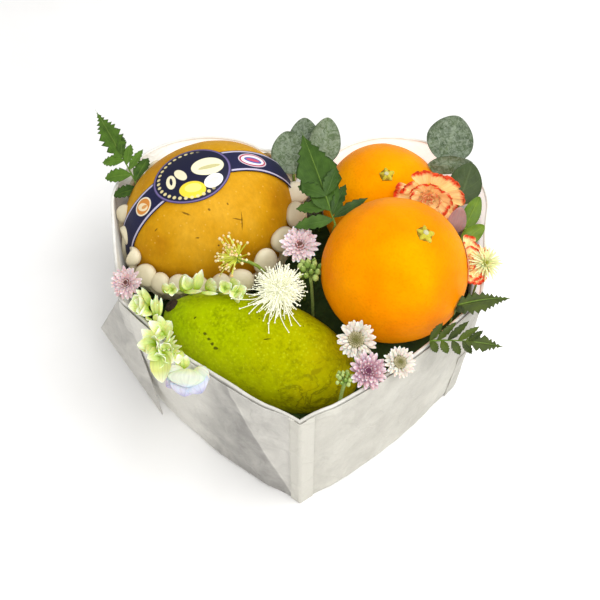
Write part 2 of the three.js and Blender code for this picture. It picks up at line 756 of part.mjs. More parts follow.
const toolsFor = (big, small, grow) => [
  solid(fruitShell(CITRUS_F, ...big, grow)),
  solid(fruitShell(CITRUS_B, ...small, grow)),
  solid(greenShell(...small, grow)),
];
const fruitTools = toolsFor([FRUIT_ROWS, FRUIT_COLUMNS], [SMALL_ROWS, SMALL_COLUMNS], GAP);
const coarseTools = toolsFor([7, 12], [7, 12], 10 * GAP);
const foamTool = solid(foamShell(GAP));
const cupHollow = solid(fruitShell(PEAR, 8, 14, FOAM_IN + FOAM_T + 9 * GAP));
const pearTool = solid(fruitShell(PEAR, FRUIT_ROWS, FRUIT_COLUMNS, GAP));
const bandTool = solid(bandShell(GAP));
const trayTool = solid(trayShell(GAP));
const bedTool = solid(bedShell(GAP));
const wallTool = solid(trayShell(GAP, 2 * PAPER + 3 * GAP));
const keepOut = [wallTool, bedTool, pearTool, bandTool, foamTool, ...fruitTools];

// A flower or leaf node: its shells are fused, cut round everything placed before it and cleaned.
// The envelopes are what the later nodes are cut round in their turn.
function addCut(name, shells, colour, roughness, envelopes = []) {
  const body = cut(fuse(shells), keepOut);
  addNode(name, largestPiece(shellOf(body)), colour, roughness);
  keepOut.push(...envelopes.map(solid));
}

addNode('tray', trayShell(0), 0xe9ecec, 0.75);

const POINTS = heart(1).length;
const flap = FLAP.map((p) => V(...p));
const leftStart = () => POINTS + LEFT_SHEET.from;
const leftEnd = (t) => POINTS + LEFT_SHEET.to + LEFT_SHEET.slant * t;
const paperLeft = fuse([wallSheet(leftStart, leftEnd, PAPER_OFF), plate(flap, FLAP_T)]);
const flapRoom = flap.map((p) => p.clone().add(V(0.5, 0.4, 0.2)));
keepOut.push(solid(plate(flapRoom, 3 * FLAP_T)));
addNode('paper_left', shellOf(cut(paperLeft, [trayTool])), 0xd9dcde, 0.8);
const rightEnd = (t) => RIGHT_SHEET.to + RIGHT_SHEET.slant * t;
const paperRight = solid(wallSheet(() => RIGHT_SHEET.from, rightEnd, PAPER_OFF));
addNode('paper_right', shellOf(cut(paperRight, [trayTool])), 0xeef0f1, 0.8);
const strip = wallSheet(() => TIP_STRIP.from, () => TIP_STRIP.to, STRIP_OFF, STRIP_STEPS);
addNode('paper_tip_strip', strip, 0xf2f3f3, 0.8);
const foldStart = (t) => CORNER_FOLD.from + CORNER_FOLD.fromSlant * t;
const foldEnd = (t) => CORNER_FOLD.to + CORNER_FOLD.toSlant * t;
const fold = wallSheet(foldStart, foldEnd, STRIP_OFF, STRIP_STEPS, CORNER_FOLD.high);
addNode('paper_corner_fold', fold, 0xe3e5e6, 0.8);

const bed = cut(solid(bedShell(0)), [trayTool, cupHollow, ...coarseTools]);
addNode('tissue_bed', largestPiece(shellOf(bed)), 0x34491f, 0.9);

addNode('pear', fruitShell(PEAR, FRUIT_ROWS, FRUIT_COLUMNS, 0), 0xc08a3c, 0.5);
addNode('band', bandShell(0), 0x232b57, 0.4);
const foam = cut(solid(foamShell(0)), [trayTool, ...coarseTools]);
addNode('foam_cup', largestPiece(shellOf(foam)), 0xeef0e4, 0.7);
addNode('citrus_front', fruitShell(CITRUS_F, FRUIT_ROWS, FRUIT_COLUMNS, 0), 0xf59a14, 0.45);
addNode('citrus_back', fruitShell(CITRUS_B, SMALL_ROWS, SMALL_COLUMNS, 0), 0xf7941e, 0.45);
addNode('green_fruit', greenShell(SMALL_ROWS, SMALL_COLUMNS, 0), 0x9db23a, 0.45);
addCut('calyx_front', calyxShells(CITRUS_F, CALYX_F), 0xb9a343, 0.7);
addCut('calyx_back', calyxShells(CITRUS_B, CALYX_B), 0xb9a343, 0.7);
const stalkEnd = greenPoint(SCAR.fromEnd, SCAR.turn, 0);
const overStalk = greenPoint(SCAR.fromEnd, SCAR.turn, 1);
const scarAt = frameAt(stalkEnd, overStalk.sub(stalkEnd));
addCut('green_fruit_scar', [eggShell(scarAt, SCAR.across, SCAR.across, SCAR.deep)], 0x2a2018, 0.8);

// What later flowers keep clear of: an egg round a head between two heights along its axis.
function envelopeFor(at, radius, low, high) {
  const middle = (low + high) / 2;
  const lifted = (a, b, h) => at(a, b, h + middle);
  const across = radius * 1.12 + GAP;
  return eggShell(lifted, across, across, ((high - low) / 2) * 1.35 + GAP, 6, 12);
}

// Each head faces along a direction, on a stem that runs down to the bed.
for (const d of DAISIES) {
  const at = frameAt(V(...d.c), heading(...d.face), 0.3);
  const stem = (thick) => stemShell(V(d.foot[0], d.foot[1], BED_TOP), at(0, 0, -d.r * 0.3), thick);
  addCut(d.name, [daisyShell(at, d.r, d.petals, 0.16), stem(STEM_R)], d.colour, 0.7,
    [envelopeFor(at, d.r, -d.r * 0.5, d.r * 0.3), stem(STEM_R + GAP)]);
}

for (const f of FRILLS) {
  const at = frameAt(V(...f.c), heading(...f.face), 0.2);
  const stem = (thick) => stemShell(V(f.foot[0], f.foot[1], BED_TOP), at(0, 0, -f.high * 0.5), thick);
  addCut(f.name, [frillShell(at, f.r, f.n, f.high), stem(STEM_R * 1.5)], 0xf3a68a, 0.7,
    [envelopeFor(at, f.r, -f.high * 0.8, f.high), stem(STEM_R * 1.5 + GAP)]);
}

const burrAt = frameAt(V(...FILAMENTS.c), heading(...FILAMENTS.face), 0);
const burrStem = (thick) => stemShell(V(...FILAMENTS.foot, BED_TOP), burrAt(0, 0, -2), thick);
addCut('filament_flower', [burrShell(burrAt, FILAMENTS.r, 8, 16, 0.3, -0.25), burrStem(STEM_R)],
  0xf6f5ee, 0.7, [envelopeFor(burrAt, FILAMENTS.r, -9, FILAMENTS.r), burrStem(STEM_R + GAP)]);

const umbelAt = frameAt(V(...UMBEL.c), heading(...UMBEL.face), 0);
const umbelBend = V(...UMBEL.bend);
addCut('umbel_flower', [
  burrShell(umbelAt, UMBEL.r, 6, 12, 0.4, -0.3),
  stemShell(umbelBend, umbelAt(0, 0, -2), STEM_R),
  stemShell(V(...UMBEL.foot, BED_TOP), umbelBend.clone().add(V(0, 0, 1)), STEM_R),
], 0xc4cf6a, 0.7, [envelopeFor(umbelAt, UMBEL.r - 1, -4, 10)]);

for (const cluster of CLUSTERS) {
  const shells = [];
  for (const [i, [x, y, z, r]] of cluster.heads.entries()) {
    const at = frameAt(V(x, y, z), heading(250 + 14 * i, 55 + 7 * (i % 3)), i);
    shells.push(eggShell((a, b, h) => at(a, b, h - r * 0.55), r * 0.75, r * 0.75, r * 0.6, 4, 6));
    shells.push(floretShell(at, r));
  }
  const [x, y, z] = cluster.heads[1];
  shells.push(stemShell(V(...cluster.foot, BED_TOP), V(x, y, z - 3), STEM_R * 1.2));
  addCut(cluster.name, shells, cluster.colour, 0.7);
  for (const [hx, hy, hz, r] of cluster.heads) {
    const room = frameAt(V(hx, hy, hz - r * 0.3), V(0, 0, 1));
    keepOut.push(solid(eggShell(room, r * 1.15, r * 1.15, r * 0.95)));
  }
}

const blueAt = frameAt(V(...BLUE_FLORET.c), heading(...BLUE_FLORET.face), 0.2);
addCut('floret_blue', [
  floretShell(blueAt, BLUE_FLORET.r),
  stemShell(V(...BLUE_FLORET.foot), blueAt(0, 0, -2), STEM_R),
], 0xc9cfe8, 0.7, [envelopeFor(blueAt, BLUE_FLORET.r + 0.5, -4, 3)]);

// Buds lie in a spiral round the end of their stem.
for (const b of BUDS) {
  const shells = [];
  for (let i = 0; i < b.n; i += 1) {
    const a = i * 2.4;
    const r = b.size * (0.35 + 0.85 * Math.sqrt(i / b.n));
    const spot = V(b.c[0] + r * Math.cos(a), b.c[1] + r * Math.sin(a), b.c[2] + 1.5 - r * 0.4);
    shells.push(eggShell(frameAt(spot, V(0, 0, 1)), b.size, b.size, b.size, 4, 6));
  }
  shells.push(stemShell(V(b.foot[0], b.foot[1], BED_TOP), V(...b.c), STEM_R));
  const room = envelopeFor(frameAt(V(...b.c), V(0, 0, 1)), b.size * 1.9, -5, 5);
  addCut(b.name, shells, 0x8fae5a, 0.7, [room]);
}

for (const f of FERNS) {
  const base = V(...f.base);
  const tip = V(...f.tip);
  const up = V(...f.up);
  const blades = [fernBlade(base, tip, up, f.half, f.n, V(0, 0, FERN_SAG))];
  for (const end of f.side) {
    blades.push(roundLeaf(base.clone().lerp(tip, 0.03), V(...end), up, SIDE_BLADE_HALF, 0.6));
  }
  const stem = stemShell(V(...f.foot), base.clone().lerp(tip, 0.14), STEM_R);
  addCut(f.name, [...blades, stem], 0x2f5d2a, 0.6);
}

for (const leaf of LEAVES) {
  const base = V(...leaf.base);
  const tip = V(...leaf.tip);
  const blade = (grow) => roundLeaf(base, tip, V(...leaf.up), leaf.half, LEAF_CUP, grow);
  const stem = stemShell(V(base.x, base.y, BED_TOP), base.clone().lerp(tip, 0.12), 1);
  addCut(leaf.name, [blade(0), stem], 0x8fa394, 0.6, [blade(GAP)]);
}
const mauve = roundLeaf(V(...PETAL.base), V(...PETAL.tip), V(...PETAL.up), PETAL.half, 1);
addCut('petal_mauve', [mauve], 0xb58aa4, 0.6);

export default group;
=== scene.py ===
"""Looks for the fruit gift box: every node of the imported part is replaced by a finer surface.

Sizes are in millimetres and become metres when a mesh is made. X is right, Y back, Z up.
"""

import bmesh
import bpy
import numpy as np
from mathutils import Matrix, Vector


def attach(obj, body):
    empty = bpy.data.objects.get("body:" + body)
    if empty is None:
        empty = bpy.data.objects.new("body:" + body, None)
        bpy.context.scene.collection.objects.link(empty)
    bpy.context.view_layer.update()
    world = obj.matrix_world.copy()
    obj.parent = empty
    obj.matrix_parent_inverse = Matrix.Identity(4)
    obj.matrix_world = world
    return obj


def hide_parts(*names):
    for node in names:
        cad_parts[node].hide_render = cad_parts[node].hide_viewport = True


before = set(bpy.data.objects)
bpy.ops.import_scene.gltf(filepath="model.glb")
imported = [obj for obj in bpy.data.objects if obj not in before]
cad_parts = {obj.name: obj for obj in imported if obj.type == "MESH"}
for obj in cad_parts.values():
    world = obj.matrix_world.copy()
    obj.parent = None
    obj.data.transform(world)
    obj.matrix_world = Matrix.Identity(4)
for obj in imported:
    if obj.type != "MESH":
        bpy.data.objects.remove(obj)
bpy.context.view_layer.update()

MM = 0.001
TAU = 2 * np.pi
MERGE = 2e-6  # metres within which points of one piece are one point
GOLDEN = 2.39996  # turn from one to the next in a spiral, in radians
UP = np.array([0, 0, 1.0])

# Tray, as in the part. The shoulder and the lobe are arcs of its outline at the rim: the centre and
# radius, and how much nearer to the middle the centre lies at the foot
TRAY_H = 88.0
WALL = 2.2
FLOOR = 2.6
TIP_Y = -160.0
SHOULDER = dict(x=89.0, y=-58.0, r=24.0, flare=9.0)
LOBE = dict(x=63.0, y=13.0, r=60.0, flare=5.0)
NOTCH_Y = 60.0
FRONT_BULGE = 6.0
PAPER_OFF = 0.35  # from the wall to the paper
PAPER_T = 0.5
# Corners of the loose flap: the two at the top, then the outer and the lower one
FLAP = ((-109.9, -68.4, 86.5), (-106.4, -73.0, 86.5), (-128.0, -55.0, 40.0), (-88.6, -96.4, 1.6))
BED_H = 24.0
BED_GAP = 0.9  # from the bedding to the wall
BED_LIFT = 0.4  # from the tray's floor to the bedding
MOUND = dict(x=60.0, y=-45.0, high=34.0, wide=42.0)
MIDDLE = np.array([0, -40.0, 0])  # where floor and bedding close
STEM_Z = 20.0  # height of the cut ends of the stems, down in the bedding

# Fruit: centre, stalk axis (azimuth, elevation), half sizes along, across and upright, and how deep
# the poles of the round ones are dented, as a share of the half size
PEAR = dict(c=(-59.8, 14.0, 67.3), az=-62.0, el=0.0, size=(48.6, 58.6, 53.3), dent=0.08)
CITRUS_F = dict(c=(57.8, -52.9, 94.0), az=-23.0, el=68.0, size=(44.2, 45.0, 45.0), dent=0.02)
CITRUS_B = dict(c=(55.5, 28.6, 67.0), az=-90.0, el=75.0, size=(39.6, 40.3, 40.3), dent=0.02)
GREEN = dict(c=(-25.5, -81.0, 50.0), az=158.0, el=3.0, size=(65.0, 31.0, 38.0))
DENT_SPREAD = 0.32  # radians from the pole

# Marks on the skins: polar angle, turn, slant (radians), half length and half width
PEAR_SCARS = (
    (1.07, 2.08, 0.5, 3.6, 0.7), (0.66, 1.4, -0.1, 6.5, 0.5), (0.7, 1.47, 1.1, 3.6, 0.45),
    (0.95, 1.81, 0.3, 1.1, 0.8), (0.92, 1.55, 0.3, 1.0, 0.7), (0.75, 2.2, 0.8, 1.4, 0.6),
    (1.2, 2.5, 1.4, 1.6, 0.5))
GREEN_SCARS = (
    (1.11, 0.83, 0.2, 1.6, 1.0), (1.17, 0.76, 0.2, 1.5, 1.0), (1.22, 0.7, 0.4, 1.5, 1.1),
    (1.27, 0.65, 0.4, 2.0, 1.2), (1.72, 1.14, 0.5, 2.6, 0.5), (0.93, 1.1, 0.9, 1.3, 0.6))
GREEN_BRUISES = ((2.1, 2.4, 0.3, 13.0, 4.0), (2.3, 0.9, 0.8, 5.0, 2.0))
SCAR_AT = (0.42, 1.5, 0.0, 1, 1)  # the stalk scar, of which only the place and the slant count
SCAR_SIZE = (5.4, 4.4, 3.0)  # its half sizes along, across and upwards

# Band round the pear, with its round label
BAND_W = 17.0
BAND_T = 0.6
BAND_LIFT = 0.8  # from the pear's skin to the band
BAND_SHIFT = 3.5  # from the pear's widest place towards its stalk
BAND_SLANT = 0.06
LABEL_R = 24.2  # half the label's length along the band
LABEL_WIDE = 0.8  # its width, as a share of its length
LABEL_AT = -0.2  # its place, in radians from the pear's top
BAND_ROUND = 55.0  # millimetres of the band to one radian
BAND_UNIT = 100.0  # millimetres of the band in one unit of its UV
RING_DOTS = 34
RING_AT = 0.845  # radius of the ring of dots, as a share of the label's
RING_LONG = 6.5  # how much closer a dot ends outwards than round the ring

# Foam cushions that lean out of the cup round the pear's front: centre and radius; and the places
# round the pear, in degrees, of the pads that stand against the wall behind it
FOAM_FRONT = (
    (-7.3, 39.9, 86, 7.6), (-2, 24.5, 82, 8.2), (-2, 7.5, 79, 8.6), (-10.3, -12.6, 77, 8.8),
    (-21.6, -29.6, 75, 8.6), (-36.9, -43.0, 72, 8.2), (-50, -46, 72, 7), (-64, -47, 72, 6.5),
    (-77, -45, 71, 6.5), (-88.5, -42, 68.5, 7), (-98, -37, 70.5, 7.4), (-107.5, -26, 76, 6.4),
    (-112.4, -11, 80, 6), (-114.4, 4, 84, 6))
FOAM_BEHIND = (48, 66, 84, 102, 120, 138, 156)
FOAM_IN = 2.8  # from the pear's surface to the cup's inner face, and to its outer one
FOAM_OUT = 4.8
PAD_LIFT = 4.2  # from the pear's surface to the middle of a pad
FREE_FROM, FREE_TO = -140.0, 48.0  # turns about the left lobe's middle, between which it is open
NO_LIMIT = 1e6


# Directions and frames

def unit(v):
    """Vectors brought to length 1."""
    v = np.asarray(v, float)
    return v / np.linalg.norm(v, axis=-1, keepdims=True)


def upward(axis):
    """The upright direction across an axis: Z less its part along the axis."""
    return unit(UP - axis[2] * axis)


def ring_way(turn):
    """Directions across Z, one at each turn."""
    return np.stack([np.cos(turn), np.sin(turn), 0 * turn], axis=-1)


def heading(az, el):
    """Direction from azimuth and elevation in degrees."""
    a, e = np.radians(az), np.radians(el)
    return np.stack([np.cos(e) * np.cos(a), np.cos(e) * np.sin(a), np.sin(e) + 0 * a], axis=-1)


def frame_at(direction, roll=0.0):
    """Matrix whose columns are two directions across the given one, turned by roll, and itself."""
    z = unit(direction)
    side = np.array([1.0, 0, 0]) if abs(z[2]) > 0.95 else unit(np.cross(UP, z))
    over = np.cross(z, side)
    c, s = np.cos(roll), np.sin(roll)
    return np.stack([side * c + over * s, over * c - side * s, z], axis=-1)


def fruit_frame(fruit):
    """Columns: the stalk axis, sideways and upright; and the fruit's centre."""
    axis = heading(fruit["az"], fruit["el"])
    up = upward(axis)
    return np.stack([axis, np.cross(up, axis), up], axis=-1), np.array(fruit["c"])


def ripple(p, size, seed, octaves=3):
    """Smooth unevenness from about -1 to 1: sine waves in six random directions for each octave,
    each octave half as long and half as high as the one before."""
    rng = np.random.default_rng(seed)
    total = np.zeros(p.shape[:-1])
    for octave in range(octaves):
        for _ in range(6):
            way = unit(rng.normal(size=3)) * TAU / size * 2 ** octave
            total += np.sin(p @ way + rng.uniform(0, TAU)) * 0.5 ** octave
    return total / 3.5


def creases(p, size, seed):
    """Folded-paper relief from 0 to 1: the highest of nine tilted saw waves leaves flat facets."""
    rng = np.random.default_rng(seed)
    waves = []
    for _ in range(9):
        way = unit(rng.normal(size=3)) / (size * rng.uniform(0.7, 1.6))
        waves.append(np.abs((p @ way + rng.uniform(0, 1)) % 1.0 - 0.5) * 2)
    waves = np.sort(np.stack(waves), axis=0)
    return waves[-1] * 0.5 + waves[-3] * 0.5


def smooth(a, b, x):
    """Smooth step from 0 at a to 1 at b."""
    t = np.clip((x - a) / (b - a), 0, 1)
    return t * t * (3 - 2 * t)


# Grids

def column(first, last, count):
    """Even steps down a grid, for its first parameter."""
    return np.linspace(first, last, count)[:, None]


def row(first, last, count):
    """Even steps across a grid, for its second parameter."""
    return np.linspace(first, last, count)[None, :]


def grid(*parts):
    """Points or UVs whose coordinates are the parts, each stretched to the same shape."""
    return np.stack(np.broadcast_arrays(*parts), axis=-1)


def shell(outer, inner):
    """A closed shell: the outer sheet, then the inner one from its last row back."""
    return np.concatenate([outer, inner[::-1]])


def capped(wall):
    """A round wall closed at both ends by points on its axis, Z."""
    return np.concatenate([wall[:1] * UP, wall, wall[-1:] * UP])


def knob(rows, cols, half, dimple, narrow):
    """A round body with half sizes along X, Y and Z, by polar angle u and turn b, whose top is
    dimpled by a bell: z = high cos u - dimple exp(-(sin u / narrow)^2)."""
    u, b = column(0, np.pi, rows), row(0, TAU, cols)
    bell = dimple * np.exp(-(np.sin(u) / narrow) ** 2) * (np.cos(u) > 0)
    return grid(half[0] * np.sin(u) * np.cos(b), half[1] * np.sin(u) * np.sin(b),
                half[2] * np.cos(u) - bell)


# Surfaces of the fruit

def fruit_points(fruit, u, w):
    """An ellipsoid by polar angle from the stalk pole and turn round the axis, dented at both poles."""
    axes, centre = fruit_frame(fruit)
    dent = 1 - fruit["dent"] * np.exp(-(np.minimum(u, np.pi - u) / DENT_SPREAD) ** 2)
    ball = grid(np.cos(u) * dent, np.sin(u) * np.cos(w), np.sin(u) * np.sin(w))
    return centre + (ball * np.array(fruit["size"])) @ axes.T


def green_points(u, w):
    """The green fruit: an ellipsoid whose girth is times 1 - 0.1 cos u - 0.06 cos^2 u, so that it is
    fuller past its middle, its narrow stalk end turned up a little."""
    axes, centre = fruit_frame(GREEN)
    c = np.cos(u)
    fat = 1 - 0.1 * c - 0.06 * c * c
    long, side, high = GREEN["size"]
    local = grid(long * c, side * fat * np.sin(u) * np.cos(w), high * fat * np.sin(u) * np.sin(w))
    points = centre + local @ axes.T
    points[..., 2] += 3.5 * np.maximum(0, c) ** 2 - 1
    return points


def mark_places(surface, rows):
    """Places on a fruit from rows of polar angle, turn, slant and half sizes: the point, its frame
    with the mark's length first, and the half sizes."""
    out = []
    for u, w, slant, long, wide in rows:
        at, du, dw = (surface(np.array([a]), np.array([b]))[0] for a,
                      b in ((u, w), (u + 0.01, w), (u, w + 0.01)))
        normal = unit(np.cross(du - at, dw - at))
        x = unit(du - at)
        y = np.cross(normal, x)
        along = x * np.cos(slant) + y * np.sin(slant)
        out.append((at, np.stack([along, np.cross(normal, along), normal], axis=-1), long, wide))
    return out


def clear_of(points, gap=0.5):
    """Points inside one of the round fruits are moved out of it along the line from its centre."""
    for fruit in (PEAR, CITRUS_F, CITRUS_B):
        axes, centre = fruit_frame(fruit)
        away = points - centre
        reach = np.linalg.norm(away @ axes / (np.array(fruit["size"]) + gap), axis=-1, keepdims=True)
        points = centre + away / np.clip(reach, 0.3, 1)
    return points


# Meshes

class Skin:
    """Grids of points gathered into one mesh, with a UV at each point and a tone for each grid."""

    def __init__(self, clear=False):
        self.points, self.faces, self.uv, self.tone, self.kind = [], [], [], [], []
        self.count = 0
        self.clear = clear

    def add(self, points, uv=None, tone=0.5, kind=0):
        """points is (rows, columns, 3) or (copies, rows, columns, 3), in millimetres."""
        if points.ndim == 3:
            points = points[None]
        n, rows, cols, _ = points.shape
        if uv is None:
            uv = grid(row(0, 1, cols), column(0, 1, rows))
        uv = np.broadcast_to(uv, (n, rows, cols, 2))
        tone = np.asarray(tone, float)
        if tone.ndim == 1:
            tone = tone[:, None, None]
        tone = np.broadcast_to(tone, (n, rows, cols))
        start = np.arange(n * rows * cols).reshape(n, rows, cols) + self.count
        quads = np.stack([start[:, :-1, :-1], start[:, :-1, 1:], start[:, 1:, 1:], start[:, 1:, :-1]],
                         axis=-1)
        quads = quads.reshape(-1, 4)
        self.points.append(points.reshape(-1, 3))
        self.uv.append(uv.reshape(-1, 2))
        self.tone.append(tone.reshape(-1))
        self.faces.append(quads)
        self.kind.append(np.full(len(quads), kind))
        self.count += n * rows * cols
        return self

    def mesh(self, name):
        """The mesh in metres, with its seams and poles merged and its faces turned outwards."""
        points = np.concatenate(self.points)
        points = (clear_of(points) if self.clear else points) * MM
        faces = np.concatenate(self.faces)
        uv = np.concatenate(self.uv)
        kind = np.concatenate(self.kind)
        data = bpy.data.meshes.new(name)
        data.vertices.add(len(points))
        data.vertices.foreach_set("co", points.astype(np.float32).ravel())
        data.loops.add(faces.size)
        data.loops.foreach_set("vertex_index", faces.ravel().astype(np.int32))
        data.polygons.add(len(faces))
        data.polygons.foreach_set("loop_start", np.arange(0, faces.size, 4, dtype=np.int32))
        data.polygons.foreach_set("loop_total", np.full(len(faces), 4, dtype=np.int32))
        data.update(calc_edges=True)
        layer = data.uv_layers.new(name="UVMap")
        layer.data.foreach_set("uv", uv[faces.ravel()].astype(np.float32).ravel())
        tone = data.attributes.new("tone", "FLOAT", "POINT")
        tone.data.foreach_set("value", np.concatenate(self.tone).astype(np.float32))
        data.polygons.foreach_set("material_index", kind.astype(np.int32))
        work = bmesh.new()
        work.from_mesh(data)
        bmesh.ops.remove_doubles(work, verts=work.verts, dist=MERGE)
        bmesh.ops.dissolve_degenerate(work, edges=work.edges, dist=MERGE / 4)
        bmesh.ops.recalc_face_normals(work, faces=work.faces)
        work.to_mesh(data)
        work.free()
        data.polygons.foreach_set("use_smooth", np.ones(len(data.polygons), bool))
        data.update()
        return data


def piece(name, skin, materials, nodes, wall=0.0):
    """A finished piece: its mesh, its materials and the nodes it stands for."""
    obj = bpy.data.objects.new(name, skin.mesh(name))
    bpy.context.scene.collection.objects.link(obj)
    for material in materials:
        obj.data.materials.append(material)
    if wall:
        solid = obj.modifiers.new("wall", "SOLIDIFY")
        solid.thickness = wall * MM
        solid.offset = 0.0
    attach(obj, "root")
    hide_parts(*nodes)
    return obj


# Repeated shapes

def blades(roots, frames, length, width, profile, bend=0.0, cup=0.0, thick=0.35, twist=0.0, wave=None,
           rows=9, around=10):
    """Many petals or leaves at once, each closed and lens-shaped across. The middle line leaves its
    root along the frame's first column and bends towards its third. At share t of the length the
    half width is width times profile(t), points across lie on a flat ellipse, and the edges rise by
    the cup, turn by the twist and move by wave(t, s)."""
    n = len(roots)
    form = (length, width, bend, cup, twist)
    length, width, bend, cup, twist = (np.broadcast_to(np.asarray(x, float), (n,))[:, None, None]
                                       for x in form)
    bend = np.where(np.abs(bend) < 1e-3, 1e-3, bend)
    t = (1 - np.cos(np.pi * np.linspace(0, 1, rows) ** 0.9)) * 0.5
    t = t[None, :, None]
    phi = np.linspace(0, TAU, around + 1)[None, None, :]
    s = np.cos(phi)
    share = profile(t)
    half = width * share
    side = half * s
    over = cup * half * s ** 2 + twist * t * side + thick * np.sin(phi) * np.sqrt(np.clip(share, 0, 1))
    if wave is not None:
        over = over + wave(t, s) * share
    ahead = length * np.sin(bend * t) / bend - over * np.sin(bend * t)
    above = length * (1 - np.cos(bend * t)) / bend + over * np.cos(bend * t)
    local = grid(ahead, side, above)
    points = np.asarray(roots)[:, None, None, :] + np.einsum("nrck,njk->nrcj", local, frames)
    uv = grid(0.5 + 0.5 * s, t)
    return points, np.broadcast_to(uv, (n, rows, around + 1, 2))


def round_frames(base, turn, tilt):
    """Frames round a flower's axis: first column outwards at the turn, raised by the tilt; third
    column its upper side."""
    turn, tilt = np.broadcast_arrays(np.asarray(turn, float), np.asarray(tilt, float))
    out = ring_way(turn)
    side = np.stack([-np.sin(turn), np.cos(turn), 0 * turn], axis=-1)
    ahead = out * np.cos(tilt)[..., None] + UP * np.sin(tilt)[..., None]
    over = UP * np.cos(tilt)[..., None] - out * np.sin(tilt)[..., None]
    return np.einsum("ij,njk->nik", base, np.stack([ahead, side, over], axis=-1))


def tubes(paths, radii, sides):
    """Closed round tubes along many paths (copies, steps, 3) with radii (copies, steps): a ring of
    the radius stands across the path at each step, and rings of no size close the ends."""
    paths = np.asarray(paths, float)
    radii = np.broadcast_to(radii, paths.shape[:2])
    along = unit(np.gradient(paths, axis=1))
    first = np.cross(along.mean(axis=1), [0.31, 0.95, 0.11])
    side = unit(first)[:, None, :] - along * (along * unit(first)[:, None, :]).sum(-1, keepdims=True)
    side = unit(side)
    over = np.cross(along, side)
    paths = np.concatenate([paths[:, :1], paths, paths[:, -1:]], axis=1)
    side = np.concatenate([side[:, :1], side, side[:, -1:]], axis=1)
    over = np.concatenate([over[:, :1], over, over[:, -1:]], axis=1)
    zero = np.zeros((len(paths), 1))
    radii = np.concatenate([zero, radii, zero], axis=1)
    phi = np.linspace(0, TAU, sides + 1)
    ring = side[:, :, None, :] * np.cos(phi)[:, None] + over[:, :, None, :] * np.sin(phi)[:, None]
    return paths[:, :, None, :] + ring * radii[:, :, None, None]


def balls(centres, radii, rows, around, squash=(1, 1, 1)):
    """Round or egg-shaped bodies by polar angle u and turn w: squash times (sin u cos w, sin u sin w,
    cos u) times the radius, from each centre."""
    u = column(0, np.pi, rows)
    w = row(0, TAU, around + 1)
    ball = grid(np.sin(u) * np.cos(w), np.sin(u) * np.sin(w), np.cos(u)) * np.array(squash)
    radii = np.broadcast_to(radii, (len(centres),))
    return np.asarray(centres)[:, None, None, :] + ball * radii[:, None, None, None]


def bent_path(points):
    """A smooth curve through a few points: each coordinate is a polynomial of the share along it."""
    points = np.asarray(points, float)
    t = np.concatenate([[0], np.cumsum(np.linalg.norm(np.diff(points, axis=0), axis=1))])
    t /= t[-1]
    fit = [np.polyfit(t, points[:, k], len(points) - 1) for k in range(3)]
    s = np.linspace(0, 1, 14)
    return np.stack([np.polyval(f, s) for f in fit], axis=-1)


def whorl(rng, count, stray):
    """Turns of a ring of petals: evenly apart from a random start, each strayed a little."""
    return TAU * (np.arange(count) + rng.uniform(0, 1)) / count + rng.normal(0, stray, count)


def leaf_way(base, tip, up):
    """A leaf's own directions: ahead from base to tip, to its side, and over its upper face."""
    ahead = unit(tip - base)
    side = unit(np.cross(up, ahead))
    return ahead, side, np.cross(ahead, side)


# Materials

def linear(code):
    """Linear colour from an sRGB hex value."""
    c = np.array([int(code[i:i + 2], 16) for i in (1, 3, 5)]) / 255
    c = np.where(c <= 0.04045, c / 12.92, ((c + 0.055) / 1.055) ** 2.4)
    return (*c, 1.0)


def node(tree, kind, inputs=None, stops=(), **settings):
    """A shader node with its settings; an input is a value, a hex colour, a node (its first output)
    or an output. stops are the places and colours or greys of a ramp."""
    made = tree.nodes.new("ShaderNode" + kind)
    for key, value in settings.items():
        setattr(made, key, value)
    for place, (at, colour) in enumerate(stops):
        elements = made.color_ramp.elements
        stop = elements[place] if place < 2 else elements.new(at)
        stop.position = at
        stop.color = linear(colour) if isinstance(colour, str) else (colour, colour, colour, 1)
    for key, value in (inputs or {}).items():
        if isinstance(value, bpy.types.ShaderNode):
            value = value.outputs[0]
        if isinstance(value, bpy.types.NodeSocket):
            tree.links.new(value, made.inputs[key])
        else:
            made.inputs[key].default_value = linear(value) if isinstance(value, str) else value
    return made


def every(size):
    """Scale of a pattern whose parts lie so many millimetres apart."""
    return 1 / (size * MM)


def finish_of(name, roughness, **values):
    """A new material with one Principled shader and its settings; returns it and its node tree."""
    material = bpy.data.materials.new(name)
    material.use_nodes = True
    inputs = material.node_tree.nodes["Principled BSDF"].inputs
    for key, value in {"Roughness": roughness, **values}.items():
        inputs[key.replace("_", " ")].default_value = value
    return material, material.node_tree


def finished(material, **ends):
    """The material, with the last node of each of its patterns joined to an input of its shader."""
    tree = material.node_tree
    for key, last in ends.items():
        tree.links.new(last.outputs[0], tree.nodes["Principled BSDF"].inputs[key.replace("_", " ")])
    return material


def marks(tree, spot, under, places, colour):
    """Soft-edged scars and bruises laid over a colour, each a flat egg with a ragged rim."""
    rag = node(tree, "TexNoise", {"Vector": spot, "Scale": every(1.3), "Detail": 3.0})
    for at, frame_, long, wide in places:
        local = node(tree, "Mapping", {"Vector": spot, "Location": tuple(at * MM),
                                       "Rotation": tuple(Matrix(frame_.tolist()).to_euler()),
                                       "Scale": (long * MM, wide * MM, 5 * MM)}, vector_type="TEXTURE")
        far = node(tree, "VectorMath", {0: local}, operation="LENGTH").outputs["Value"]
        ragged = node(tree, "Math", {0: rag, 1: 1.1, 2: far}, operation="MULTIPLY_ADD")
        mask = node(tree, "MapRange", {"Value": ragged, "From Min": 1.15, "From Max": 1.6,
                                       "To Min": 0.85, "To Max": 0.0})
        under = node(tree, "MixRGB", {"Fac": mask, "Color1": under, "Color2": colour})
    return under


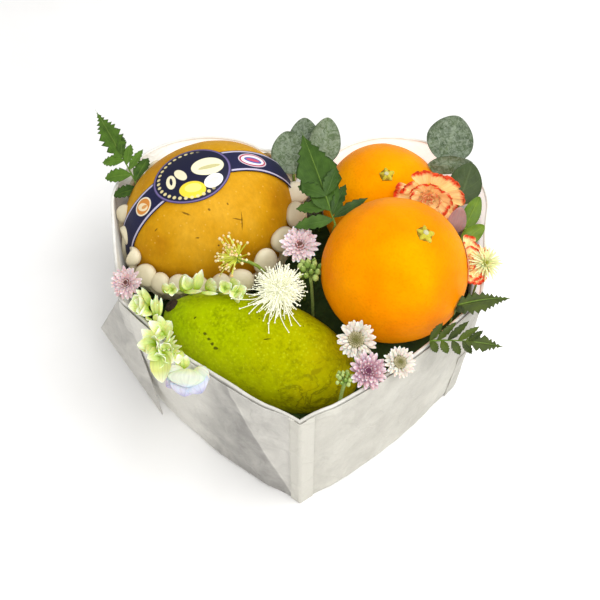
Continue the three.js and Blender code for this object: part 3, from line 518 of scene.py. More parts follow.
def citrus_peel(name, deep, bright):
    """Ripe orange peel, lightly waxed: a soft gloss over round pores, drawn 1.7 mm apart so that they
    show, low swellings about 9 mm wide and rare darker specks."""
    material, tree = finish_of(name, 0.5, Specular_IOR_Level=0.09, Specular_Tint=linear("#ff9a20"))
    spot = node(tree, "TexCoord").outputs["Object"]
    patches = node(tree, "TexNoise", {"Vector": spot, "Scale": every(30), "Detail": 3.0})
    colour = node(tree, "ValToRGB", {"Fac": patches}, stops=[(0.3, deep), (0.7, bright)])
    pores = node(tree, "TexVoronoi", {"Vector": spot, "Scale": every(1.7)}, feature="SMOOTH_F1")
    dimple = node(tree, "ValToRGB", {"Fac": pores}, stops=[(0.12, 0.0), (0.5, 1.0)])
    dark = node(tree, "MixRGB", {"Fac": 0.07, "Color1": colour, "Color2": dimple}, blend_type="MULTIPLY")
    specks = node(tree, "TexVoronoi", {"Vector": spot, "Scale": every(19)})
    speck = node(tree, "ValToRGB", {"Fac": specks}, stops=[(0.02, 0.8), (0.045, 0.0)])
    spotted = node(tree, "MixRGB", {"Fac": speck, "Color1": dark, "Color2": "#b86402"})
    rolls = node(tree, "TexNoise", {"Vector": spot, "Scale": every(9), "Detail": 2.0})
    broad = node(tree, "Bump", {"Height": rolls, "Distance": 0.5 * MM, "Strength": 0.5})
    fine = node(tree, "Bump", {"Height": dimple, "Distance": 0.14 * MM, "Strength": 0.7, "Normal": broad})
    return finished(material, Base_Color=spotted, Normal=fine)


def russet_skin(name):
    """Skin of a brown pear: fine russet grain, corky specks 1 to 2 mm wide and a few dark scratches."""
    material, tree = finish_of(name, 0.58, Specular_IOR_Level=0.09)
    spot = node(tree, "TexCoord").outputs["Object"]
    broad = node(tree, "TexNoise", {"Vector": spot, "Scale": every(34), "Detail": 4.0, "Roughness": 0.6})
    colour = node(tree, "ValToRGB", {"Fac": broad}, stops=[
        (0.28, "#bf8008"), (0.5, "#d2980f"), (0.74, "#dea728")])
    stretched = node(tree, "Mapping", {"Vector": spot, "Scale": (1.0, 1.0, 0.35)})
    grain = node(tree, "TexNoise", {"Vector": stretched, "Scale": every(2.6), "Detail": 5.0,
                                    "Roughness": 0.7})
    dusk = node(tree, "ValToRGB", {"Fac": grain}, stops=[(0.35, 0.55), (0.65, 1.0)])
    grained = node(tree, "MixRGB", {"Fac": 0.3, "Color1": colour, "Color2": dusk}, blend_type="MULTIPLY")
    cells = node(tree, "TexVoronoi", {"Vector": spot, "Scale": every(4.2)})
    corky = node(tree, "ValToRGB", {"Fac": cells}, stops=[(0.08, 1.0), (0.16, 0.0)])
    faint = node(tree, "Math", {0: corky, 1: 0.42}, operation="MULTIPLY")
    specked = node(tree, "MixRGB", {"Fac": faint, "Color1": grained, "Color2": "#e6bb5a"})
    rare = node(tree, "TexVoronoi", {"Vector": spot, "Scale": every(15)})
    dot = node(tree, "ValToRGB", {"Fac": rare}, stops=[(0.03, 1.0), (0.055, 0.0)])
    marked = node(tree, "MixRGB", {"Fac": dot, "Color1": specked, "Color2": "#6d4414"})
    scarred = marks(tree, spot, marked, mark_places(lambda u, w: fruit_points(PEAR, u, w), PEAR_SCARS),
                    "#6b4a0c")
    bump = node(tree, "Bump", {"Height": grain, "Distance": 0.25 * MM, "Strength": 0.35})
    return finished(material, Base_Color=scarred, Normal=bump)


def green_skin(name):
    """Skin of a part-ripe green fruit: lime at the stalk end, olive and yellow at the far end, a fine
    yellow-green speckle 1 to 3 mm wide, brown bruises, a row of dark dots and a dull wax. Stains and
    thin brown streaks gather low on it, the streaks mostly at the far end."""
    material, tree = finish_of(name, 0.52, Specular_IOR_Level=0.15, Specular_Tint=linear("#c4d42a"))
    axes, centre = fruit_frame(GREEN)
    spot = node(tree, "TexCoord").outputs["Object"]
    moved = node(tree, "VectorMath", {0: spot, 1: tuple(centre * MM)}, operation="SUBTRACT")
    along = node(tree, "VectorMath", {0: moved, 1: tuple(axes[:, 0] / (GREEN["size"][0] * MM))},
                 operation="DOT_PRODUCT").outputs["Value"]
    clouds = node(tree, "TexNoise", {"Vector": spot, "Scale": every(18), "Detail": 5.0, "Roughness": 0.6})
    wander = node(tree, "Math", {0: clouds, 1: 0.9, 2: -0.45}, operation="MULTIPLY_ADD")
    mixed = node(tree, "Math", {0: along, 1: wander}, operation="ADD")
    share = node(tree, "Math", {0: mixed, 1: 0.5, 2: 0.5}, operation="MULTIPLY_ADD")
    colour = node(tree, "ValToRGB", {"Fac": share}, stops=[
        (0.05, "#b0a404"), (0.95, "#a4c000"), (0.3, "#a5a600"), (0.55, "#a2ae00"), (0.75, "#a7ba00")])
    speckle = node(tree, "TexNoise", {"Vector": spot, "Scale": every(2.4), "Detail": 3.0,
                                      "Roughness": 0.62})
    fine = node(tree, "ValToRGB", {"Fac": speckle}, stops=[(0.36, 0.3), (0.6, 1.0)])
    patch = node(tree, "TexNoise", {"Vector": spot, "Scale": every(13), "Detail": 2.0})
    where = node(tree, "MapRange", {"Value": patch, "From Min": 0.35, "From Max": 0.65,
                                    "To Min": 0.08, "To Max": 0.55})
    speckled = node(tree, "MixRGB", {"Fac": where, "Color1": colour, "Color2": fine}, blend_type="MULTIPLY")
    cells = node(tree, "TexVoronoi", {"Vector": spot, "Scale": every(2.6)})
    pore = node(tree, "ValToRGB", {"Fac": cells}, stops=[(0.05, 0.3), (0.34, 0.0)])
    dotted = node(tree, "MixRGB", {"Fac": pore, "Color1": speckled, "Color2": "#d3df2c"})
    rare = node(tree, "TexVoronoi", {"Vector": spot, "Scale": every(11)})
    dark = node(tree, "ValToRGB", {"Fac": rare}, stops=[(0.03, 0.8), (0.06, 0.0)])
    spotted = node(tree, "MixRGB", {"Fac": dark, "Color1": dotted, "Color2": "#55560c"})
    flaw = node(tree, "TexNoise", {"Vector": spot, "Scale": every(15), "Detail": 6.0, "Roughness": 0.62,
                                   "Distortion": 1.0})
    veiny = node(tree, "ValToRGB", {"Fac": flaw}, stops=[
        (0.455, 0.0), (0.53, 0.0), (0.485, 0.6), (0.5, 0.6)])
    depth = node(tree, "SeparateXYZ", {0: spot}).outputs[2]
    below = node(tree, "MapRange", {"Value": depth, "From Min": 60 * MM, "From Max": 82 * MM,
                                    "To Min": 1.0, "To Max": 0.0})
    far_end = node(tree, "MapRange", {"Value": share, "From Min": 0.2, "From Max": 0.5,
                                      "To Min": 1.0, "To Max": 0.12})
    streak = node(tree, "Math", {0: veiny, 1: below}, operation="MULTIPLY")
    streak = node(tree, "Math", {0: streak, 1: far_end}, operation="MULTIPLY")
    broad = node(tree, "TexNoise", {"Vector": spot, "Scale": every(7), "Detail": 4.0, "Roughness": 0.6})
    stain = node(tree, "ValToRGB", {"Fac": broad}, stops=[(0.5, 0.0), (0.66, 0.4)])
    stain = node(tree, "Math", {0: stain, 1: below}, operation="MULTIPLY")
    stained = node(tree, "MixRGB", {"Fac": stain, "Color1": spotted, "Color2": "#82860a"})
    streaked = node(tree, "MixRGB", {"Fac": streak, "Color1": stained, "Color2": "#55520a"})
    bruised = marks(tree, spot, streaked, mark_places(green_points, GREEN_BRUISES), "#8a8206")
    scarred = marks(tree, spot, bruised, mark_places(green_points, GREEN_SCARS), "#33310a")
    bump = node(tree, "Bump", {"Height": speckle, "Distance": 0.3 * MM, "Strength": 0.55})
    return finished(material, Base_Color=scarred, Normal=bump)


# Prints on the band, from the lowest: middle along and across, half sizes, turn, open share, colour
PRINTS = (
    (0, 0, LABEL_R * 1.02, LABEL_R * LABEL_WIDE * 1.02, 0, 0, "#181a34"),
    (0, 0, LABEL_R * 0.985, LABEL_R * LABEL_WIDE * 0.985, 0, 0.95, "#75689c"),
    (-12.8, -0.2, 3, 5, 0.35, 0, "#e9e2c0"), (-5.8, -1.4, 2.8, 5, -0.25, 0, "#e9e2c0"),
    (-12.6, -0.4, 0.9, 2.6, 0.35, 0, "#191c30"), (10.6, 0.2, 9.6, 6.6, 0.1, 0, "#f3f0c8"),
    (11.2, 1.2, 6.6, 1.4, 0.1, 0, "#c9c28c"), (9.6, 10.9, 6.4, 3.9, -0.25, 0, "#f7f6f2"),
    (9.9, 10.7, 3.4, 1.5, -0.25, 0, "#d9d8d4"), (-4.4, 11.2, 7.9, 5.3, 0.3, 0, "#f1d53c"),
    (-3.6, 10.4, 5, 2.8, 0.3, 0, "#f8e678"), (-35.6, -0.2, 6.6, 5.6, 0, 0, "#efe3c6"),
    (-35.6, -0.2, 5.6, 4.7, 0, 0, "#d68a3a"), (-36, 0, 4, 2.6, 0.9, 0, "#f0dcb2"),
    (-35, 0.8, 2.2, 1.1, 0.4, 0, "#d99a58"), (40.5, 0, 10, 5.6, 0, 0, "#d9cbd6"),
    (40.5, 0, 9.3, 5, 0, 0, "#b23f55"), (40.5, 0, 8.2, 4.1, 0, 0, "#e9e6ee"),
    (40.5, 0.2, 6, 2.3, 0.15, 0, "#5560a8"), (40.5, 0.2, 4.6, 1.2, 0.15, 0, "#c9506a"))


def band_print(name):
    """Printed paper with a dull varnish: navy ground, pale lilac lines along its edges, an oval label
    with a ring of gold dots round plain yellow and cream ovals, and an oval badge at each side. The
    band's UV is its arc and its width in units of BAND_UNIT; each print is a turned ellipse, whose
    distance is 0.5 on its rim. The dots lie where the ring's turn and distance are both near."""
    material, tree = finish_of(name, 0.5, Specular_IOR_Level=0.2, Coat_Weight=0.04, Coat_Roughness=0.3)
    uv = node(tree, "UVMap", uv_map="UVMap")
    ground = node(tree, "TexNoise", {"Vector": uv, "Scale": 90.0, "Detail": 2.0})
    colour = node(tree, "ValToRGB", {"Fac": ground}, stops=[(0.3, "#18193a"), (0.7, "#1f2046")])
    parts = node(tree, "SeparateXYZ", {0: uv})
    off = node(tree, "Math", {0: parts.outputs[1], 1: 10.0}, operation="MULTIPLY")
    off = node(tree, "Math", {0: off}, operation="ABSOLUTE")
    edge = node(tree, "ValToRGB", {"Fac": off}, stops=[
        (0.67, 0.0), (0.81, 0.0), (0.695, 1.0), (0.785, 1.0)])
    colour = node(tree, "MixRGB", {"Fac": edge, "Color1": colour, "Color2": "#c3bdd4"})
    for along, across, long, wide, turn, open_, ink in PRINTS:
        local = node(tree, "Mapping", {"Vector": uv, "Location": (along / BAND_UNIT, across / BAND_UNIT, 0),
                                       "Rotation": (0, 0, turn),
                                       "Scale": (2 * long / BAND_UNIT, 2 * wide / BAND_UNIT, 1)},
                     vector_type="TEXTURE")
        far = node(tree, "VectorMath", {0: local}, operation="LENGTH").outputs["Value"]
        mask = node(tree, "ValToRGB", {"Fac": far}, stops=[
            (open_ / 2, 0.0 if open_ else 1.0), (0.51, 0.0), (open_ / 2 + 0.008, 1.0), (0.49, 1.0)])
        colour = node(tree, "MixRGB", {"Fac": mask, "Color1": colour, "Color2": ink})
    label = (LABEL_R / BAND_UNIT, LABEL_R * LABEL_WIDE / BAND_UNIT, 1)
    round_ = node(tree, "Mapping", {"Vector": uv, "Scale": label}, vector_type="TEXTURE")
    far = node(tree, "VectorMath", {0: round_}, operation="LENGTH").outputs["Value"]
    spread = node(tree, "SeparateXYZ", {0: round_})
    turn = node(tree, "Math", {0: spread.outputs[1], 1: spread.outputs[0]}, operation="ARCTAN2")
    cell = node(tree, "Math", {0: turn, 1: RING_DOTS / TAU, 2: 100.0}, operation="MULTIPLY_ADD")
    cell = node(tree, "Math", {0: cell}, operation="FRACT")
    cell = node(tree, "Math", {0: cell, 1: 0.5}, operation="SUBTRACT")
    out = node(tree, "Math", {0: far, 1: RING_LONG, 2: -RING_AT * RING_LONG}, operation="MULTIPLY_ADD")
    out2 = node(tree, "Math", {0: out, 1: out}, operation="MULTIPLY")
    dots = node(tree, "Math", {0: cell, 1: cell, 2: out2}, operation="MULTIPLY_ADD")
    gold = node(tree, "ValToRGB", {"Fac": dots}, stops=[(0.07, 1.0), (0.12, 0.0)])
    # painted light: the gold dots fade out towards one side of the label, drawn only where the foil catches
    # the light
    painted_light = node(tree, "MapRange", {"Value": spread.outputs[0], "From Min": 0.15, "From Max": 0.5,
                                  "To Min": 0.9, "To Max": 0.0})
    gold = node(tree, "Math", {0: gold, 1: painted_light}, operation="MULTIPLY")
    colour = node(tree, "MixRGB", {"Fac": gold, "Color1": colour, "Color2": "#e2d49a"})
    fibres = node(tree, "TexNoise", {"Vector": uv, "Scale": 60.0, "Detail": 4.0})
    bump = node(tree, "Bump", {"Height": fibres, "Distance": 0.1 * MM, "Strength": 0.3})
    return finished(material, Base_Color=colour, Normal=bump)


def wrap_paper(name, dim, light, glow=0.0):
    """Thin white wrapping paper over card: fibres a millimetre or two long, faint cloudy patches,
    a few specks, soft wrinkles and sharp creases. A lower tone attribute darkens it: painted shade
    towards the tray's front and on the loose flap, and darker bands on the left sheet.
    The glow stands for daylight that comes through the thin card above the fruit: it starts at half
    the wall's height and fades towards the left lobe's far side."""
    material, tree = finish_of(name, 0.62, Sheen_Weight=0.08, Sheen_Roughness=0.5, Emission_Strength=glow)
    spot = node(tree, "TexCoord").outputs["Object"]
    clouds = node(tree, "TexNoise", {"Vector": spot, "Scale": every(20), "Detail": 6.0, "Roughness": 0.62,
                                     "Distortion": 0.5})
    tone = node(tree, "Attribute", attribute_name="tone").outputs["Fac"]
    lift = node(tree, "Math", {0: tone, 1: 0.25}, operation="SUBTRACT")
    mixed = node(tree, "Math", {0: clouds, 1: 0.85, 2: lift}, operation="MULTIPLY_ADD")
    colour = node(tree, "ValToRGB", {"Fac": mixed}, stops=[(0.25, dim), (0.9, light)])
    fibre = node(tree, "TexNoise", {"Vector": spot, "Scale": every(1.6), "Detail": 4.0, "Distortion": 1.6})
    threads = node(tree, "ValToRGB", {"Fac": fibre}, stops=[(0.38, 0.6), (0.62, 1.0)])
    fibred = node(tree, "MixRGB", {"Fac": 0.1, "Color1": colour, "Color2": threads}, blend_type="MULTIPLY")
    specks = node(tree, "TexVoronoi", {"Vector": spot, "Scale": every(13)})
    speck = node(tree, "ValToRGB", {"Fac": specks}, stops=[(0.02, 1.0), (0.045, 0.0)])
    faint = node(tree, "Math", {0: speck, 1: 0.5}, operation="MULTIPLY")
    specked = node(tree, "MixRGB", {"Fac": faint, "Color1": fibred, "Color2": "#8f8a80"})
    if glow:
        place = node(tree, "SeparateXYZ", {0: spot}).outputs
        high = node(tree, "Math", {0: place[2], 1: 1 / (TRAY_H * MM)}, operation="MULTIPLY")
        painted_light = node(tree, "ValToRGB", {"Fac": high}, stops=[
            (0.5, 0.0), (0.82, 1.0), (0.96, 1.0), (1.0, 0.7)])
        side = node(tree, "MapRange", {"Value": place[0], "From Min": -122 * MM, "From Max": -84 * MM})
        finished(material, Emission_Color=node(tree, "Math", {0: painted_light, 1: side}, operation="MULTIPLY"))
    folds = node(tree, "TexNoise", {"Vector": spot, "Scale": every(11), "Detail": 3.0, "Distortion": 0.8})
    soft = node(tree, "Bump", {"Height": folds, "Distance": 1.5 * MM, "Strength": 0.55})
    jitter = node(tree, "TexNoise", {"Vector": spot, "Scale": every(30), "Detail": 2.0}).outputs["Color"]
    bent = node(tree, "MixRGB", {"Fac": 0.06, "Color1": spot, "Color2": jitter})
    web = node(tree, "TexVoronoi", {"Vector": bent, "Scale": every(34)}, feature="DISTANCE_TO_EDGE")
    crack = node(tree, "MapRange", {"Value": web, "From Min": 0.0, "From Max": 0.05,
                                    "To Min": 1.0, "To Max": 0.0})
    creased = node(tree, "Bump", {"Height": crack, "Distance": 0.5 * MM, "Strength": 0.5, "Normal": soft})
    fine = node(tree, "Bump", {"Height": fibre, "Distance": 0.14 * MM, "Strength": 0.35, "Normal": creased})
    return finished(material, Base_Color=specked, Normal=fine)


def foam_skin(name):
    """Moulded polyethylene foam: satin, off-white with a warm grey-green cast that is partly its own
    and partly painted reflected light from the oranges and painted shade, and closed cells about a
    millimetre across that show as a faint leather grain."""
    material, tree = finish_of(name, 0.42, Sheen_Weight=0.1, Coat_Weight=0.06)
    spot = node(tree, "TexCoord").outputs["Object"]
    tone = node(tree, "Attribute", attribute_name="tone").outputs["Fac"]
    clouds = node(tree, "TexNoise", {"Vector": spot, "Scale": every(12), "Detail": 3.0})
    mixed = node(tree, "Math", {0: clouds, 1: 0.5, 2: tone}, operation="MULTIPLY_ADD")
    colour = node(tree, "ValToRGB", {"Fac": mixed}, stops=[(0.3, "#c1b48e"), (0.95, "#e6dcbf")])
    cells = node(tree, "TexVoronoi", {"Vector": spot, "Scale": every(1.1)})
    bump = node(tree, "Bump", {"Height": cells, "Distance": 0.12 * MM, "Strength": 0.4})
    return finished(material, Base_Color=colour, Normal=bump)


def petal_skin(name, base, middle, edge, vein=0.14, edge_at=0.86, sides=0.0, glow=0.0):
    """Fresh petal: soft sheen, colour running from the claw to the rim, fine lengthwise veins and a
    slightly different tone on each petal. With sides, the rim's colour also runs down both edges.
    The glow stands for light that comes through thin petals."""
    material, tree = finish_of(name, 0.55, Specular_IOR_Level=0.2, Subsurface_Weight=0.3,
                               Subsurface_Scale=2 * MM, Emission_Strength=glow)
    uv = node(tree, "UVMap", uv_map="UVMap")
    parts = node(tree, "SeparateXYZ", {0: uv})
    tone = node(tree, "Attribute", attribute_name="tone").outputs["Fac"]
    shift = node(tree, "Math", {0: tone, 1: 0.16, 2: -0.08}, operation="MULTIPLY_ADD")
    along = node(tree, "Math", {0: parts.outputs[1], 1: shift}, operation="ADD")
    if sides:
        across = node(tree, "Math", {0: parts.outputs[0], 1: 0.5}, operation="SUBTRACT")
        across = node(tree, "Math", {0: across}, operation="ABSOLUTE")
        rimmed = node(tree, "MapRange", {"Value": across, "From Min": 0.38, "From Max": 0.5,
                                         "To Min": 0.0, "To Max": sides})
        along = node(tree, "Math", {0: along, 1: rimmed}, operation="MAXIMUM")
    colour = node(tree, "ValToRGB", {"Fac": along}, stops=[
        (0.05, base), (1.0, edge), (0.4, middle), (edge_at, middle)])
    lines = node(tree, "Mapping", {"Vector": uv, "Scale": (14.0, 1.6, 1.0)})
    veins = node(tree, "TexNoise", {"Vector": lines, "Scale": 1.0, "Detail": 2.0})
    dusk = node(tree, "ValToRGB", {"Fac": veins}, stops=[(0.35, 0.35), (0.65, 1.0)])
    veined = node(tree, "MixRGB", {"Fac": vein, "Color1": colour, "Color2": dusk}, blend_type="MULTIPLY")
    value = node(tree, "Math", {0: tone, 1: 0.22, 2: 0.89}, operation="MULTIPLY_ADD")
    toned = node(tree, "HueSaturation", {"Hue": 0.5, "Saturation": 1.0, "Color": veined, "Value": value})
    bump = node(tree, "Bump", {"Height": veins, "Distance": 0.2 * MM, "Strength": 0.35})
    return finished(material, Base_Color=toned, Emission_Color=toned, Normal=bump)


def leaf_skin(name, dark, light, vein_colour, veins=7.0, rough=0.42, bloom=0.0, vein_share=0.4):
    """Leaf with a waxy face: a pale midrib, side veins that run forward from it, mottled green, a
    darker margin, and for a gum leaf a grey bloom in patches about 3 mm wide."""
    material, tree = finish_of(name, rough, Specular_IOR_Level=0.25)
    uv = node(tree, "UVMap", uv_map="UVMap")
    parts = node(tree, "SeparateXYZ", {0: uv})
    tone = node(tree, "Attribute", attribute_name="tone").outputs["Fac"]
    spot = node(tree, "TexCoord").outputs["Object"]
    mottle = node(tree, "TexNoise", {"Vector": spot, "Scale": every(5), "Detail": 4.0})
    age = node(tree, "Math", {0: tone, 1: 0.5, 2: -0.05}, operation="MULTIPLY_ADD")
    mixed = node(tree, "Math", {0: mottle, 1: 0.6, 2: age}, operation="MULTIPLY_ADD")
    colour = node(tree, "ValToRGB", {"Fac": mixed}, stops=[(0.25, dark), (0.75, light)])
    across = node(tree, "Math", {0: parts.outputs[0], 1: 0.5}, operation="SUBTRACT")
    across = node(tree, "Math", {0: across}, operation="ABSOLUTE")
    rib = node(tree, "MapRange", {"Value": across, "From Min": 0.015, "From Max": 0.05,
                                  "To Min": 1.0, "To Max": 0.0})
    forward = node(tree, "Math", {0: across, 1: -0.9, 2: parts.outputs[1]}, operation="MULTIPLY_ADD")
    wave = node(tree, "Math", {0: forward, 1: veins * TAU}, operation="MULTIPLY")
    wave = node(tree, "Math", {0: wave}, operation="SINE")
    side = node(tree, "MapRange", {"Value": wave, "From Min": 0.86, "From Max": 1.0,
                                   "To Min": 0.0, "To Max": 0.55})
    lines = node(tree, "Math", {0: rib, 1: side}, operation="MAXIMUM")
    strength = node(tree, "Math", {0: lines, 1: vein_share}, operation="MULTIPLY")
    veined = node(tree, "MixRGB", {"Fac": strength, "Color1": colour, "Color2": vein_colour})
    cloudy = node(tree, "TexNoise", {"Vector": spot, "Scale": every(3.2), "Detail": 5.0, "Roughness": 0.75,
                                     "Distortion": 1.2})
    dust = node(tree, "MapRange", {"Value": cloudy, "From Min": 0.4, "From Max": 0.64,
                                   "To Min": 0.0, "To Max": bloom})
    dusted = node(tree, "MixRGB", {"Fac": dust, "Color1": veined, "Color2": "#a9b5a2"})
    margin = node(tree, "MapRange", {"Value": across, "From Min": 0.44, "From Max": 0.5,
                                     "To Min": 0.0, "To Max": 0.6})
    edged = node(tree, "MixRGB", {"Fac": margin, "Color1": dusted, "Color2": dark})
    bump = node(tree, "Bump", {"Height": lines, "Distance": 0.3 * MM, "Strength": 0.5})
    return finished(material, Base_Color=edged, Normal=bump)


def plain_growth(name, low, high, size=3.0, rough=0.5, glow=0.0):
    """Stem, bud or cork: a fine two-tone mottle with a slight grain. The glow stands for light that
    passes through threads too thin to hold it."""
    material, tree = finish_of(name, rough, Specular_IOR_Level=0.25, Emission_Strength=glow)
    spot = node(tree, "TexCoord").outputs["Object"]
    tone = node(tree, "Attribute", attribute_name="tone").outputs["Fac"]
    mottle = node(tree, "TexNoise", {"Vector": spot, "Scale": every(size), "Detail": 4.0})
    age = node(tree, "Math", {0: tone, 1: 0.6, 2: -0.1}, operation="MULTIPLY_ADD")
    mixed = node(tree, "Math", {0: mottle, 1: 0.6, 2: age}, operation="MULTIPLY_ADD")
    colour = node(tree, "ValToRGB", {"Fac": mixed}, stops=[(0.25, low), (0.8, high)])
    bump = node(tree, "Bump", {"Height": mottle, "Distance": 0.15 * MM, "Strength": 0.4})
    return finished(material, Base_Color=colour, Emission_Color=colour, Normal=bump)


paper_left_skin = wrap_paper("wrapping paper, shaded", "#908d88", "#dbd8cf")
paper_right_skin = wrap_paper("wrapping paper, white", "#98958c", "#cbc8bd")
card_skin = wrap_paper("paper-covered card", "#b9b6ad", "#f0efe8")
card_inside = wrap_paper("paper-covered card, inside", "#a9a69e", "#d6d4cd", 0.72)
# painted shade: the bedding is coloured dark green so that the gaps between the flowers and fruit read as
# shadow
dark_shade_bedding = plain_growth("tissue bedding, dark as painted shade", "#1c2b10", "#3f5722", 6.0, 0.8)
pear_russet = russet_skin("russet pear skin")
peel_front = citrus_peel("orange peel, front", "#ee8500", "#fa9d00")
peel_back = citrus_peel("orange peel, back", "#f08d00", "#fba500")
lime_skin = green_skin("green fruit skin")
printed_band = band_print("printed paper band")
foam = foam_skin("moulded foam")
stem_green = plain_growth("cut stem", "#5d7a2a", "#9fb552", 4.0)
calyx_green = plain_growth("dried calyx", "#9a8f12", "#e3d84e", 1.2, 0.7)
calyx_shade = plain_growth("peel under the calyx", "#6d5a04", "#a9860a", 1.2, 0.7)
calyx_button = plain_growth("stalk button", "#9d9770", "#cfc9a2", 0.8, 0.7)
black_cork = plain_growth("black stalk scar", "#15100b", "#4a3626", 1.5, 0.75)
fern_green = leaf_skin("fern leaf", "#24400a", "#5a7e24", "#7c963c", 8.0, vein_share=0.25)
fern_dark = leaf_skin("fern leaf, shaded", "#1c2a00", "#4b5c08", "#6b7c24", 8.0, vein_share=0.2)
fern_deep = leaf_skin("fern leaf, deep green", "#1f3a08", "#4a6a24", "#5d7d32", 5.0, vein_share=0.16)
gum_leaf = leaf_skin("gum leaf with bloom", "#31412a", "#596c46", "#8b9a78", 4.0, 0.65, 0.5, 0.2)
gum_dark = leaf_skin("gum leaf, dark", "#243314", "#3d4e22", "#6c7c4c", 4.0, 0.55, 0.03, 0.2)
small_green = leaf_skin("small waxy leaf", "#40600f", "#779420", "#8da23e", 5.0, vein_share=0.25)


# Tray, paper and bedding

def outline(index, share):
    """Outline of the tray at a height share. Index 0 is the tip, 0 to 10 a bulged front side, to 14
    the shoulder's arc, to 15 a straight side, to 27 the lobe's arc and 28 the notch; a negative
    index is the mirrored left side. Returns X and Y."""
    index, share = np.broadcast_arrays(np.asarray(index, float), np.asarray(share, float))
    i = np.abs(index)
    lean_back = 1 - share
    sx = SHOULDER["x"] - SHOULDER["flare"] * lean_back
    lx = LOBE["x"] - LOBE["flare"] * lean_back
    sy, sr, ly, lr = SHOULDER["y"], SHOULDER["r"], LOBE["y"], LOBE["r"]
    reach = np.sqrt(sx ** 2 + (sy - TIP_Y) ** 2 - sr ** 2)
    lean = np.arctan2(sy - TIP_Y, sx) - np.arctan2(sr, reach)
    s = np.clip(i / 10, 0, 1)
    bulge = FRONT_BULGE * 4 * s * (1 - s) * np.minimum(1, 6 * s)
    front = (np.cos(lean) * reach * s + np.sin(lean) * bulge,
             TIP_Y + np.sin(lean) * reach * s - np.cos(lean) * bulge)
    side = np.arctan2(ly - sy, lx + lr - sx - sr) - np.pi / 2
    a = lean - np.pi / 2 + (side - lean + np.pi / 2) * np.clip((i - 10) / 4, 0, 1)
    shoulder = (sx + sr * np.cos(a), sy + sr * np.sin(a))
    last = np.pi - np.arcsin((NOTCH_Y - ly) / lr)
    b = side + (last - side) * np.clip((i - 15) / 12, 0, 1)
    lobe = (lx + lr * np.cos(b), ly + lr * np.sin(b))
    f = np.clip(i - 14, 0, 1)
    g = np.clip(i - 27, 0, 1)
    out = []
    for k, end in enumerate((0.0, NOTCH_Y - 2.5)):
        straight = shoulder[k] * (1 - f) + lobe[k] * f
        notch = lobe[k] * (1 - g) + end * g
        out.append(np.select([i <= 10, i <= 14, i <= 15], [front[k], shoulder[k], straight], notch))
    return out[0] * np.where(index < 0, -1, 1), out[1]


def on_wall(index, share, off):
    """Point on the tray's wall moved outwards by off."""
    index, share, off = np.broadcast_arrays(*(np.asarray(x, float) for x in (index, share, off)))
    x, y = outline(index, share)
    ax, ay = outline(index - 0.06, share)
    bx, by = outline(index + 0.06, share)
    tx, ty = bx - ax, by - ay
    size = np.hypot(tx, ty) + 1e-9
    return np.stack([x + ty / size * off, y - tx / size * off, TRAY_H * share], axis=-1)


def tray_skin():
    """The wall's profile, up the outside, over a rounded rim and down the inside to the floor,
    carried round the outline; the rim wavers by half a millimetre."""
    index = np.concatenate([np.linspace(-28, -15, 110), np.linspace(-14.9, -10, 46),
                            np.linspace(-9.9, -0.3, 60), np.linspace(-0.2, 0.2, 5),
                            np.linspace(0.3, 9.9, 60), np.linspace(10, 14.9, 46), np.linspace(15, 28, 110)])
    turn = np.linspace(0, np.pi, 9)
    top = 1 - WALL / 2 / TRAY_H
    share = np.concatenate([[0.0], np.linspace(0.01, top, 24), top + np.sin(turn[1:-1]) * WALL / 2 / TRAY_H,
                            np.linspace(top, FLOOR / TRAY_H, 24)])
    off = np.concatenate([[0.0], np.zeros(24), -WALL / 2 + WALL / 2 * np.cos(turn[1:-1]),
                          np.full(24, -WALL)])
    points = on_wall(index[None, :], share[:, None], off[:, None])
    waver = ripple(points, 46, 3, 2)[..., None] * smooth(0.3, 1.0, share)[:, None, None]
    points = points + waver * np.array([0.35, 0.35, 0.25])
    under = np.broadcast_to(MIDDLE, points[:1].shape)
    return np.concatenate([under, points, under + FLOOR * UP])


def sheet_skin(start, end, low, high, off, cols, rows, relief, seed, tone, start_slant=0.0, end_slant=0.0):
    """A sheet of paper on the wall between two outline indices that may slant with height: the
    wall's point at index and share, moved outwards by off + relief * folds. The folds fade at the
    foot, at the rim and at the tip. Its tone is a number or a function of index and share."""
    share = column(low, high, rows)
    across = row(0, 1, cols)
    a = start + start_slant * share
    b = end + end_slant * share
    index = a + (b - a) * across
    points = on_wall(index, share, off)
    folds = creases(points, 42, seed) * 0.6 + 0.4 * (0.5 + 0.5 * ripple(points, 22, seed + 1))
    edge = smooth(0, 0.05, share) * (1 - 0.75 * smooth(0.93, 1.0, share))
    calm = smooth(0.5, 1.8, np.abs(index)) if abs(start) > 0.5 or abs(end) > 1 else 1.0
    points = on_wall(index, share, off + relief * folds * edge * calm)
    shade = tone(index, share) if callable(tone) else tone + 0 * index
    uv = grid(index / 10, share)
    return points, uv, shade


def left_shade(index, share):
    """Tone of the left sheet: darker in a band from a slanted fold near the tip to the corner, a little
    darker between the tip and the fold, lighter far out, and at the corner under the flap painted
    shade in the grey of the shaded flap.
    """
    i = -index
    fold = 0.3 + 3.3 * share
    dark = smooth(fold - 0.05, fold + 0.12, i) * (1 - smooth(4.2, 7.2, i + 1.2 * share))
    near_tip = (1 - smooth(fold - 0.1, fold + 0.1, i)) * smooth(0.45, 0.6, i)
    # painted shade: the sheet under the flap is given the grey of the flap in shadow
    flap_painted_shade = smooth(9.6, 9.75, i)
    return 0.8 - 0.62 * dark - 0.28 * near_tip + 0.34 * smooth(7, 9, i) - 0.5 * flap_painted_shade


def right_shade(index, share):
    """A little darker up towards the right corner."""
    return 0.58 - 0.2 * smooth(4.0, 9.0, index) * smooth(0.2, 0.9, share) + 0 * index


